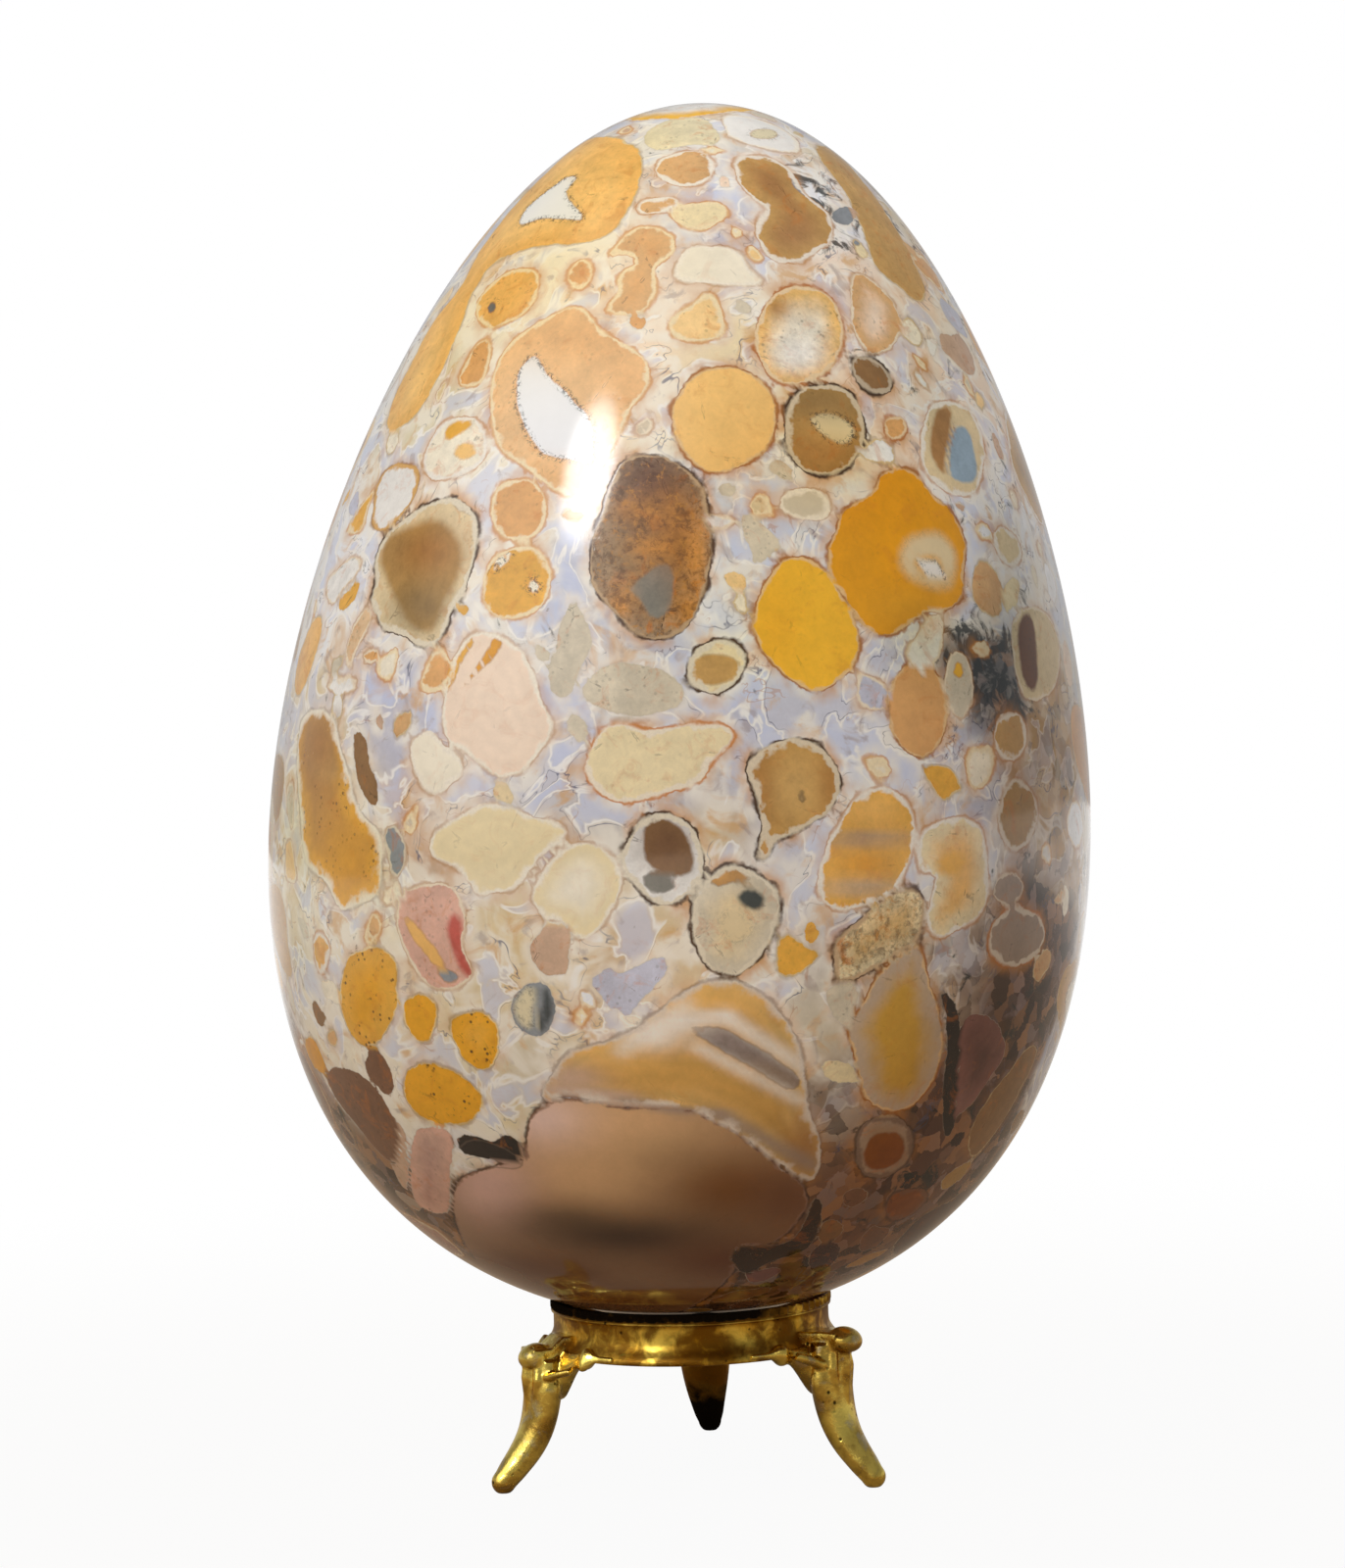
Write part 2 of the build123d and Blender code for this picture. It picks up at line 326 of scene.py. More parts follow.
# Stones on the egg's face: tone at the edge, tone of the heart, edging, outline as seen in the picture
faceStones = [
    ("goldHoney", "honey", "plain",
     "560,175 520,215 490,255 468,298 440,330 420,370 400,410 392,440 408,440 428,420 444,395 458,365 472,330 "
     "480,302 500,270 530,256 562,250 592,250 612,246 628,234 642,214 651,195 657,170 654,155 640,143 612,139 "
     "590,145"),
    ("white", "white", "clear",
     "735,118 752,117 775,122 800,132 816,145 818,155 805,157 780,153 755,146 738,136"),
    ("moss", "moss", "none",
     "655,136 680,122 705,119 728,124 736,140 728,150 700,148 672,155 660,150"),
    ("tan", "tan", "white",
     "668,170 672,162 685,157 705,153 722,158 730,167 728,178 718,188 700,192 682,190 670,182"),
    ("tan", "tan", "white",
     "648,212 655,204 672,200 690,202 694,208 685,216 668,219 652,220"),
    ("oliveTan", "brown", "white",
     "745,165 760,158 785,160 800,168 812,180 818,195 830,205 845,215 850,230 850,245 840,255 825,265 805,270 "
     "788,270 775,255 768,235 772,222 785,215 770,205 752,190"),
    ("oliveTan", "oliveTan", "plain",
     "828,148 850,152 878,182 905,220 930,262 946,298 938,312 915,292 895,275 884,250 874,222 858,190 840,170"),
    ("tan", "warmTan", "cream",
     "628,250 640,236 655,230 675,232 690,242 690,258 680,265 668,275 672,295 665,308 657,320 640,322 612,318 "
     "630,300 628,285 635,275 650,268 640,260 615,265"),
    ("cream", "cream", "clear",
     "700,252 720,250 745,252 760,262 763,275 775,283 778,292 760,293 740,292 715,290 700,290 686,283 690,265"),
    ("paleHoney", "paleHoney", "cream",
     "715,300 727,299 735,310 740,325 740,340 728,348 710,350 692,348 682,340 680,328 690,320 705,312"),
    ("honey", "cream", "rust",
     "780,310 790,297 810,290 835,294 850,305 858,320 862,340 858,360 845,380 830,390 808,394 790,390 778,378 "
     "770,360 768,340 772,325"),
    ("tan", "pinkCream", "fine",
     "868,280 880,278 895,290 910,305 918,322 918,345 910,358 895,362 882,358 872,345 866,325 866,300"),
    ("darkBrown", "darkBrown", "dark",
     "868,365 880,362 897,368 908,382 912,398 905,404 890,402 876,395 868,382"),
    ("goldHoney", "goldHoney", "cream",
     "505,285 520,275 540,272 552,278 550,295 545,312 530,325 512,333 495,335 484,325 486,308 495,295"),
    ("warmTan", "warmTan", "cream",
     "475,370 485,352 497,345 503,355 500,375 492,392 478,397 465,392"),
    ("warmTan", "warmTan", "cream",
     "578,282 585,268 597,262 605,270 605,285 595,297 582,296"),
    ("orangeTan", "orangeTan", "cream",
     "545,330 568,318 590,311 602,318 612,338 640,350 660,365 666,385 655,405 642,420 632,445 622,465 610,485 "
     "600,505 580,508 562,500 548,488 530,474 512,462 503,445 499,415 501,385 515,352"),
    ("honey", "honey", "pinkRim",
     "683,430 686,410 698,390 715,378 735,373 758,376 776,386 788,402 793,422 792,440 784,455 772,468 755,478 "
     "735,484 718,482 702,470 690,452"),
    ("olive", "oliveTan", "dark",
     "800,425 805,408 818,396 838,391 858,393 872,403 880,420 884,440 880,458 872,472 858,482 842,486 825,484 "
     "812,478 803,462 799,445"),
    ("warmTan", "warmTan", "rust",
     "900,432 908,424 920,424 927,434 924,446 912,451 902,446"),
    ("sand", "sand", "white",
     "938,450 940,430 948,412 962,407 980,412 995,425 1003,445 1005,470 1000,495 990,508 975,508 958,500 "
     "945,485 938,468"),
    ("cream", "cream", "white",
     "432,478 433,462 441,445 450,432 468,424 485,424 493,435 498,450 498,465 490,477 475,484 455,490 440,493"),
    ("white", "white", "amberRim",
     "407,471 422,474 430,485 426,505 412,525 397,540 386,545 379,537 380,520 384,497 392,480"),
    ("sand", "sand", "dark",
     "455,506 470,508 486,522 489,540 487,560 480,590 475,607 460,625 456,645 440,661 425,661 412,650 390,645 "
     "382,622 377,612 384,597 381,575 387,555 400,540 420,522"),
    ("warmTan", "warmTan", "cream",
     "500,515 505,500 515,490 530,488 545,490 555,502 560,518 558,535 548,548 535,552 518,552 508,545 500,530"),
    ("orangeAmber", "orangeAmber", "cream",
     "492,600 495,580 503,567 518,560 535,555 548,558 558,570 565,585 562,605 555,620 540,630 520,633 503,630 "
     "493,615"),
    ("smokeTan", "brown", "rich",
     "600,590 602,560 612,530 620,500 628,478 640,465 660,463 680,466 695,475 710,485 720,500 723,520 725,545 "
     "727,570 722,595 715,615 708,635 695,648 675,655 655,652 645,645 630,630 615,615 605,602"),
    ("deepAmber", "deepAmber", "pinkRim",
     "900,482 915,476 932,480 942,492 948,502 962,512 972,525 982,540 986,560 984,585 982,605 975,620 960,625 "
     "945,625 935,632 920,645 905,650 890,645 878,635 868,622 858,608 848,592 843,572 845,552 852,540 855,528 "
     "866,515 880,508 890,502 895,490"),
    ("yellow", "yellow", "pinkRim",
     "768,640 770,615 778,595 790,578 803,568 818,566 832,572 845,585 858,605 868,622 875,640 878,660 872,680 "
     "860,695 845,705 830,708 815,702 800,690 785,675 773,660"),
    ("beige", "beige", "none",
     "755,520 770,530 790,545 805,555 795,560 780,570 770,580 765,560 755,545"),
    ("beige", "beige", "clear",
     "790,520 800,500 825,495 845,505 850,525 838,535 815,530"),
    ("creamTan", "creamTan", "dark",
     "700,680 705,665 718,655 735,650 750,655 762,665 762,680 755,695 742,705 728,712 712,705 700,695"),
    ("warmTan", "warmTan", "pinkRim",
     "908,705 912,690 922,678 935,672 948,677 958,690 965,705 968,725 965,745 958,762 945,773 932,774 920,765 "
     "910,750 906,730"),
    ("beige", "beige", "fine",
     "962,690 966,672 975,662 984,668 992,682 993,700 990,722 982,735 972,730 964,715"),
    ("sand", "sand", "fine",
     "1030,650 1032,632 1040,620 1060,618 1075,635 1082,662 1080,690 1068,714 1050,718 1040,705 1034,680"),
    ("sand", "sand", "white",
     "1010,545 1020,535 1035,545 1043,560 1042,575 1030,580 1018,570"),
    ("oliveTan", "oliveTan", "white",
     "1013,745 1020,730 1035,725 1045,735 1048,755 1042,772 1028,780 1015,768"),
    ("pinkCream", "pinkCream", "clear",
     "452,712 455,690 465,665 478,648 495,643 512,648 530,660 542,675 548,690 552,710 560,728 566,742 560,755 "
     "552,768 540,782 525,792 512,795 498,788 485,775 470,765 455,758 450,740"),
    ("cream", "cream", "clear",
     "415,765 425,750 440,743 455,760 468,768 475,785 468,798 450,812 435,808 425,795"),
    ("creamTan", "creamTan", "orangeLine",
     "600,770 605,755 615,742 635,736 655,745 672,742 715,738 740,738 750,745 748,758 735,768 725,778 722,795 "
     "705,803 690,808 665,815 645,820 625,820 612,812 600,798 595,785"),
    ("goldBrown", "goldBrown", "dark",
     "757,785 767,770 797,752 820,752 840,762 855,780 859,797 855,817 840,835 820,846 800,855 790,860 785,875 "
     "770,880 772,865 776,842 772,817 765,800"),
    ("beige", "beige", "none",
     "560,690 562,670 570,645 578,620 585,610 592,620 600,640 605,655 598,670 590,690 580,710 570,715 562,705"),
    ("beige", "beige", "none",
     "600,690 615,680 640,675 665,680 690,690 700,710 690,725 660,730 625,728 600,720 592,705"),
    ("peach", "peach", "fine",
     "352,665 358,640 368,625 377,618 380,630 372,650 362,670 355,690"),
    ("warmTan", "warmTan", "fine",
     "370,665 385,660 390,668 380,680 370,678"),
    ("white", "white", "fine",
     "333,590 345,580 357,568 368,567 370,577 360,592 348,603 340,620 334,615"),
    ("white", "white", "fine",
     "330,697 345,690 365,692 368,702 350,708 335,705"),
    ("goldHoney", "goldHoney", "plain",
     "300,690 308,660 318,635 328,625 330,640 322,670 312,700 303,715"),
    ("orangeAmber", "rustBrown", "halo",
     "312,726 330,722 343,735 347,760 356,785 360,810 370,832 385,842 391,860 390,900 382,920 360,925 352,932 "
     "342,925 337,905 322,892 310,880 307,835 303,785 305,740"),
    ("darkBrown", "darkBrown", "none",
     "362,742 372,748 378,780 386,802 384,826 374,818 366,795 360,768"),
    ("steel", "steel", "fine",
     "390,848 402,838 412,850 416,870 410,895 400,900 396,880"),
    ("olive", "olive", "plain",
     "278,830 276,800 280,775 288,768 292,790 288,820 283,845"),
    ("oliveTan", "oliveTan", "plain",
     "274,905 282,900 290,915 293,945 296,980 300,1000 288,990 280,960 275,930"),
    ("goldHoney", "goldHoney", "white",
     "318,955 330,950 338,965 335,985 328,998 322,985"),
    ("amber", "amber", "plain",
     "310,1060 318,1055 328,1075 335,1095 325,1095 315,1080"),
    ("blush", "blush", "fine",
     "410,910 430,902 450,897 465,905 475,925 477,945 470,960 480,980 484,997 472,1007 455,1012 435,1005 "
     "422,990 407,960 402,935"),
    ("creamTan", "creamTan", "clear",
     "435,862 442,850 460,838 480,825 500,818 520,822 545,832 570,838 580,850 572,862 555,870 545,885 535,900 "
     "520,910 500,915 485,915 478,900 470,888 455,880 440,876"),
    ("creamTan", "cream", "clear",
     "540,915 548,895 560,878 575,865 592,858 610,862 625,872 635,885 636,905 628,925 615,945 600,960 580,955 "
     "565,945 550,935"),
    ("white", "white", "dark",
     "632,867 650,842 660,831 675,827 695,832 712,847 720,875 719,895 705,910 692,922 675,927 660,917 645,902 "
     "635,890"),
    ("orangeAmber", "brightAmber", "grainy",
     "357,972 376,966 398,969 407,987 402,1006 408,1023 399,1046 387,1066 372,1068 358,1057 348,1034 345,1006 "
     "352,986"),
    ("brightAmber", "brightAmber", "grainy",
     "413,1020 426,1012 442,1018 448,1033 445,1051 436,1064 424,1062 413,1048 410,1033"),
    ("brightAmber", "orangeAmber", "grainy",
     "458,1045 468,1035 488,1031 505,1037 512,1056 510,1079 501,1092 484,1091 470,1079 461,1060"),
    ("brightAmber", "brightAmber", "grainy",
     "411,1102 418,1087 438,1083 461,1092 480,1102 493,1118 492,1135 476,1146 453,1148 426,1138 412,1122"),
    ("steel", "steel", "none",
     "520,1028 528,1008 545,999 562,1006 570,1028 562,1050 546,1060 530,1052"),
    ("lavender", "lavender", "none",
     "600,1000 615,995 622,985 632,995 650,985 670,975 685,978 680,995 668,1010 655,1020 645,1030 640,1045 "
     "632,1030 620,1030 612,1015"),
    ("beige", "sand", "dark",
     "705,920 722,895 737,882 755,882 772,890 790,902 797,920 794,940 787,960 775,980 755,997 742,995 722,990 "
     "710,972 704,945"),
    ("orangeAmber", "orangeAmber", "white",
     "865,820 880,807 900,800 917,807 930,825 935,847 930,872 920,900 905,920 880,925 855,932 837,920 830,900 "
     "840,872 842,857 855,842"),
    ("creamTan", "goldHoney", "white",
     "942,845 960,835 980,831 1000,840 1007,865 1010,910 1002,932 985,945 967,957 950,955 942,940 950,910 "
     "955,890 935,892 935,867"),
    ("olive", "olive", "white",
     "1025,800 1040,792 1055,810 1060,832 1052,860 1037,870 1022,862 1015,835"),
    ("lilac", "lilac", "fine",
     "1012,905 1020,892 1035,890 1045,900 1040,918 1025,925 1013,918"),
    ("lilac", "lilac", "orangeLine",
     "1007,960 1012,940 1025,928 1045,925 1062,935 1068,955 1058,975 1040,988 1022,985 1010,975"),
    ("creamTan", "goldTan", "rich",
     "848,985 850,965 860,950 878,935 895,920 915,908 930,905 945,915 942,935 940,955 930,965 910,978 890,990 "
     "870,1003 852,1000"),
    ("lilacTan", "oliveGold", "pinkRim",
     "892,997 917,975 937,962 945,985 950,1005 957,1030 962,1060 957,1092 945,1115 930,1130 912,1135 892,1132 "
     "880,1120 875,1095 867,1067 865,1050 880,1022"),
    ("goldTan", "goldBrown", "bands",
     "545,1128 562,1092 582,1070 622,1062 660,1040 690,1015 718,1000 748,999 776,1010 800,1035 815,1060 "
     "822,1090 822,1120 832,1150 840,1175 832,1205 812,1200 782,1178 752,1155 722,1140 690,1131 640,1132 "
     "602,1122 575,1119"),
    ("taupe", "taupe", "smooth",
     "538,1142 553,1124 578,1118 600,1122 622,1129 651,1129 680,1127 702,1131 731,1144 753,1157 775,1175 "
     "801,1193 823,1211 826,1230 815,1244 801,1262 779,1272 753,1273 750,1299 731,1317 695,1340 622,1345 "
     "564,1330 501,1300 476,1273 461,1240 463,1200 500,1190 535,1180"),
    ("blush", "salmon", "none",
     "421,1151 450,1151 463,1158 461,1186 460,1219 458,1239 439,1237 421,1226 419,1190"),
    ("pink", "pink", "none",
     "392,1150 405,1142 415,1155 418,1190 416,1218 404,1202 396,1178"),
    ("mauve", "maroon", "none",
     "980,1042 1002,1030 1025,1055 1025,1080 1005,1105 990,1130 965,1145 967,1110 972,1075"),
    ("lilac", "taupe", "taupeRim",
     "875,1148 892,1138 915,1136 930,1148 932,1174 918,1195 895,1204 875,1198 871,1174"),
    ("rustOrange", "rustOrange", "taupeRim",
     "908,1218 927,1211 948,1212 945,1227 927,1242 906,1248 902,1233"),
    ("darkBrown", "darkBrown", "plain",
     "985,1165 995,1140 1015,1110 1035,1085 1050,1065 1060,1070 1045,1105 1025,1140 1005,1170 990,1185"),
    ("plum", "plum", "none",
     "330,1095 345,1085 365,1095 385,1110 400,1135 410,1160 405,1190 390,1180 365,1150 345,1125"),
    ("darkUmber", "darkUmber", "none",
     "745,1277 762,1268 798,1271 818,1256 827,1233 833,1215 839,1233 833,1262 815,1280 786,1286 762,1300 "
     "748,1292"),
    ("black", "black", "none",
     "465,1162 484,1158 503,1166 518,1156 532,1168 538,1179 522,1188 503,1183 488,1182 472,1177"),
    ("black", "black", "none",
     "957,1006 966,1045 963,1098 959,1145 966,1164 974,1145 976,1114 978,1083 980,1045 974,1020"),
    ("beige", "beige", "none",
     "840,1010 860,1005 880,1005 870,1030 868,1050 855,1045 845,1030"),
]

# Windows, cores and stains in those stones: tone, how soft the edge is in mm, outline
faceMarks = [
    ("ice", 0.2,
     "592,180 580,180 568,187 548,203 535,215 526,232 550,224 575,224 598,225 590,215 580,203 577,195"),
    ("steel", 0.3,
     "806,180 818,184 838,200 850,197 862,207 872,225 878,245 874,254 862,238 848,222 836,212 820,200 808,192"),
    ("ice", 0.2,
     "527,383 537,368 547,362 556,375 568,392 585,408 602,424 604,445 608,468 600,474 585,470 565,468 552,462 "
     "542,450 533,430 527,410"),
    ("darkGrey", 0.15,
     "497,314 500,308 506,309 507,316 502,320 498,319"),
    ("moss", 0.2,
     "762,137 770,132 786,132 794,137 786,142 770,142"),
    ("creamTan", 0.4,
     "825,425 840,422 855,425 868,432 873,442 862,453 850,452 838,443 828,435"),
    ("brown", 0.6,
     "950,430 958,415 972,413 968,440 964,470 966,488 956,480 948,460"),
    ("blueWindow", 0.5,
     "972,440 978,435 988,438 994,460 997,485 990,492 975,492 967,485 968,465"),
    ("orangeAmber", 0.4,
     "452,445 457,435 470,427 485,427 480,436 466,445 455,450"),
    ("honey", 0.4,
     "462,460 468,453 480,452 488,458 484,466 472,469 464,466"),
    ("olive", 1.2,
     "447,530 460,540 472,557 471,580 465,597 452,615 445,640 435,646 420,642 410,625 399,605 392,585 387,570 "
     "397,547 420,536"),
    ("darkBrown", 0.4,
     "458,509 470,510 482,518 487,528 476,525 465,519"),
    ("cream", 0.3,
     "505,572 514,564 524,562 520,572 510,580 504,584"),
    ("cream", 0.25,
     "538,592 548,590 553,599 548,607 539,604"),
    ("grey", 0.5,
     "640,602 652,592 665,582 678,573 686,580 688,600 685,620 675,632 663,632 655,618 648,607"),
    ("sand", 1.6,
     "918,560 930,548 948,543 965,550 975,565 976,585 968,600 950,600 930,592 918,578"),
    ("white", 0.2,
     "932,577 942,570 958,570 960,582 963,592 952,588 940,584"),
    ("oliveTan", 0.4,
     "704,685 710,672 722,667 738,667 750,672 757,680 752,690 738,698 722,700 708,695"),
    ("yellow", 0.2,
     "971,680 978,674 984,682 980,692 973,690"),
    ("rust", 0.6,
     "1036,640 1044,624 1053,628 1057,650 1059,690 1056,708 1048,704 1040,684"),
    ("orangeAmber", 0.2,
     "452,705 458,685 468,662 480,648 484,655 472,675 462,695 455,712"),
    ("amber", 0.2,
     "505,648 515,655 505,670 492,683 480,697 475,705 472,698 485,682 495,665"),
    ("oliveTan", 1.6,
     "314,732 328,726 338,738 342,762 348,790 338,800 322,795 312,780 310,755"),
    ("red", 0.8,
     "462,930 472,938 470,955 475,975 484,992 478,1000 468,985 460,965 455,945"),
    ("goldHoney", 0.3,
     "410,932 420,938 435,955 448,972 455,990 445,985 430,970 418,952"),
    ("steel", 0.2,
     "446,994 456,990 468,994 466,1001 454,1003"),
    ("darkBrown", 0.4,
     "660,840 672,833 685,838 700,850 707,870 710,890 690,895 675,890 660,880 655,865"),
    ("grey", 0.3,
     "655,892 672,890 690,897 686,908 670,912 658,905"),
    ("moss", 0.8,
     "524,1030 530,1012 542,1004 547,1014 542,1034 544,1050 534,1048"),
    ("slate", 1.0,
     "552,1008 562,1010 567,1028 560,1046 550,1054 548,1038 555,1026"),
    ("rustBrown", 0.3,
     "722,898 738,886 756,885 770,892 762,900 745,900 730,906"),
    ("greenBlack", 0.6,
     "748,912 762,906 776,910 782,922 772,930 758,926"),
    ("sand", 0.6,
     "732,938 748,930 764,936 768,950 755,962 738,958"),
    ("orangeAmber", 1.2,
     "952,885 960,872 975,866 985,872 985,885 975,893 962,895"),
    ("rustOrange", 0.4,
     "883,1165 895,1156 921,1156 924,1174 912,1189 892,1195 880,1189"),
    ("greyLilac", 0.25,
     "700,1051 717,1047 735,1047 755,1060 780,1072 800,1085 817,1100 812,1112 792,1105 762,1087 730,1067 "
     "712,1057"),
    ("black", 0.25,
     "465,1174 480,1163 500,1165 520,1175 538,1185 530,1193 510,1190 495,1192 480,1188 468,1185"),
    ("black", 0.2,
     "814,808 822,808 823,817 815,819"),
]

# Ground between the stones: place in the picture, spread in picture points, tone, share of dark dendrites
faceGround = [
    (412, 720, 50, "lavender", 0.1), (600, 690, 50, "lavender", 0.25), (745, 580, 60, "ice", 0.05),
    (860, 730, 60, "lavender", 0.1), (880, 775, 50, "ice", 0.1), (960, 800, 50, "lavender", 0.2),
    (580, 800, 60, "lavender", 0.2), (400, 450, 40, "moss", 0.1), (350, 560, 50, "ice", 0.2),
    (1000, 580, 45, "ice", 0.4), (1005, 690, 40, "darkGrey", 1.0), (560, 660, 35, "paleBlue", 0.5),
    (590, 845, 40, "beige", 0.2), (450, 850, 40, "pink", 0.1), (560, 960, 60, "sand", 0.1),
    (700, 960, 60, "sand", 0.15), (620, 650, 40, "lavender", 0.2), (1065, 560, 50, "ice", 0.3),
    (720, 225, 50, "lavender", 0.1), (670, 330, 60, "pinkCream", 0.1), (740, 370, 60, "creamTan", 0.1),
    (900, 330, 60, "pinkCream", 0.3), (860, 215, 40, "ice", 0.7), (640, 1000, 50, "pink", 0.2),
    (860, 1180, 70, "plum", 0.5), (950, 1180, 70, "maroon", 0.6), (325, 1150, 45, "darkBrown", 0.6),
    (380, 1050, 50, "cream", 0.15), (450, 1130, 45, "cream", 0.2), (500, 1130, 40, "creamTan", 0.2),
    (400, 980, 50, "cream", 0.2), (850, 1140, 40, "lilac", 0.3), (1040, 1020, 60, "maroon", 0.5),
    (800, 950, 50, "lavender", 0.1), (830, 1020, 50, "beige", 0.1), (540, 1090, 50, "beige", 0.1),
    (640, 1050, 50, "sand", 0.05), (980, 1000, 45, "lilac", 0.4), (1080, 800, 60, "olive", 0.3),
    (520, 970, 50, "sand", 0.1), (460, 1000, 60, "sand", 0.2), (330, 820, 60, "sand", 0.3),
    (450, 590, 50, "cream", 0.1), (600, 260, 60, "cream", 0.1), (650, 1300, 120, "darkPlum", 0.3),
    (900, 1260, 80, "plum", 0.4), (750, 545, 45, "paleBlue", 0.05), (765, 600, 35, "lavender", 0.05),
    (630, 690, 40, "paleBlue", 0.1), (735, 690, 40, "lavender", 0.1), (845, 690, 40, "lavender", 0.1)]

# Soft clouds of tone inside a stone: place in the picture, spread across and upwards, tone, share
faceClouds = [
    (620, 1150, 110, 42, "paleKhaki", 0.95), (600, 1200, 80, 40, "paleKhaki", 0.9),
    (552, 1142, 42, 26, "rosePearl", 0.85), (498, 1212, 44, 44, "roseTan", 0.9), (690, 1180, 50, 28, "khaki", 0.5),
    (745, 1214, 60, 36, "chestnut", 0.9), (805, 1222, 36, 34, "oxblood", 0.75),
    (640, 1262, 100, 25, "darkUmber", 0.9), (578, 1244, 46, 18, "darkUmber", 0.5),
    (735, 1287, 60, 26, "oxblood", 0.9), (540, 1294, 80, 24, "oxblood", 0.9), (630, 1326, 110, 16, "oxblood", 0.9),
    (738, 1020, 60, 16, "goldHoney", 0.7), (666, 1056, 28, 14, "pearl", 0.95), (692, 1046, 26, 9, "pearl", 0.8),
    (598, 1068, 30, 10, "goldHoney", 0.8), (586, 1099, 34, 12, "paleRose", 0.85),
    (640, 1088, 30, 12, "goldHoney", 0.6), (700, 1100, 70, 14, "goldBrown", 0.7),
    (765, 1124, 50, 13, "goldBrown", 0.7), (822, 1172, 20, 34, "rustTan", 0.7), (660, 490, 50, 30, "deepBrown", 0.95),
    (690, 545, 26, 40, "warmBrown", 0.8), (640, 530, 22, 22, "deepBrown", 0.6), (622, 560, 20, 60, "smokeTan", 0.7),
    (640, 566, 22, 22, "oliveSmoke", 0.5), (704, 626, 13, 22, "goldGrain", 0.9), (652, 522, 26, 12, "goldGrain", 0.6),
    (664, 558, 24, 9, "goldGrain", 0.7), (632, 616, 12, 16, "goldGrain", 0.8), (712, 572, 11, 34, "goldGrain", 0.7),
    (436, 562, 34, 26, "warmBrown", 0.75), (428, 618, 30, 22, "oliveSmoke", 0.7), (785, 185, 34, 22, "rustTan", 0.2),
    (793, 314, 15, 12, "warmBrown", 0.75), (828, 312, 22, 13, "goldTan", 0.6), (816, 362, 26, 18, "white", 0.8),
    (815, 245, 36, 22, "taupe", 0.3), (840, 412, 40, 18, "oliveSmoke", 0.6), (835, 462, 40, 18, "warmBrown", 0.5),
    (925, 620, 50, 24, "brightAmber", 0.6), (870, 570, 26, 40, "amber", 0.6), (790, 640, 24, 50, "amber", 0.45),
    (325, 760, 26, 40, "warmBrown", 0.7), (350, 880, 34, 50, "brightAmber", 0.6), (590, 345, 60, 26, "warmTan", 0.55),
    (640, 395, 26, 40, "warmTan", 0.5), (570, 490, 50, 18, "warmTan", 0.6), (776, 800, 14, 50, "warmBrown", 0.7),
    (812, 806, 26, 34, "goldTan", 0.6), (848, 800, 12, 34, "warmBrown", 0.6), (680, 860, 30, 26, "deepBrown", 0.6),
    (620, 160, 40, 24, "goldHoney", 0.6), (470, 320, 26, 60, "goldHoney", 0.6), (888, 826, 40, 22, "goldHoney", 0.8),
    (882, 856, 44, 7, "mauveGrey", 0.8), (882, 881, 26, 12, "deepAmber", 0.95), (880, 906, 44, 8, "lilacTan", 0.8),
    (900, 945, 40, 20, "goldTan", 0.5), (1000, 1060, 24, 24, "mauve", 0.6), (980, 1125, 16, 18, "dustyRose", 0.6),
    (440, 1175, 20, 30, "paleRose", 0.5)]

# Pale and grey lines in the arched stone: both ends in the picture, spots, spread across and upwards, tone, share
faceTrails = [
    ((692, 1040), (740, 1037), 6, 10, 6, "pearl", 0.7), ((740, 1037), (824, 1092), 12, 9, 6, "pearl", 0.7),
    ((712, 1068), (818, 1124), 14, 9, 5, "pearl", 0.6), ((560, 1112), (640, 1122), 9, 12, 6, "paleRose", 0.6),
    ((640, 1124), (735, 1138), 10, 12, 5, "mauveGrey", 0.7), ((735, 1138), (830, 1190), 12, 10, 6, "mauveGrey", 0.7),
    ((634, 1072), (700, 1024), 9, 9, 7, "pearl", 0.5)]
for start, end, spots, wide, tall, tone, share in faceTrails:
    faceClouds += [(x, y, wide, tall, tone, share) for x, y in np.linspace(start, end, spots)]

# Painted shade at the sides and low down, painted light over the lower middle, and tints: place in the picture, spread,
# gain in red, green and blue
faceShadeLightAndTint = [
    (1010, 690, 55, (0.7, 0.7, 0.68)), (1040, 920, 90, (0.7, 0.68, 0.68)), (790, 650, 60, (1.06, 1.08, 0.96)),
    (300, 960, 50, (0.86, 0.88, 0.8)), (1010, 1050, 80, (0.72, 0.66, 0.62)), (930, 1180, 100, (0.85, 0.72, 0.6)),
    (840, 1270, 80, (0.85, 0.72, 0.6)), (370, 1240, 80, (0.85, 0.72, 0.62)), (1030, 560, 70, (0.68, 0.69, 0.68)),
    (1030, 650, 60, (0.62, 0.64, 0.62)), (1040, 800, 80, (0.7, 0.66, 0.62)), (1095, 700, 110, (0.76, 0.74, 0.7)),
    (700, 1080, 120, (1.25, 1.25, 1.25)), (560, 280, 120, (0.98, 0.9, 0.68)), (620, 160, 70, (0.97, 0.93, 0.78)),
    (455, 330, 70, (1.03, 1.0, 0.86)), (785, 490, 60, (0.97, 0.92, 0.82)), (860, 470, 60, (0.98, 0.9, 0.68)),
    (940, 650, 45, (0.74, 0.74, 0.6)), (700, 640, 60, (0.92, 0.92, 0.9)), (305, 840, 70, (0.9, 0.9, 0.7)),
    (380, 890, 50, (0.95, 0.94, 0.8)), (950, 330, 60, (0.94, 0.92, 0.82)), (940, 400, 50, (0.88, 0.9, 0.88))]

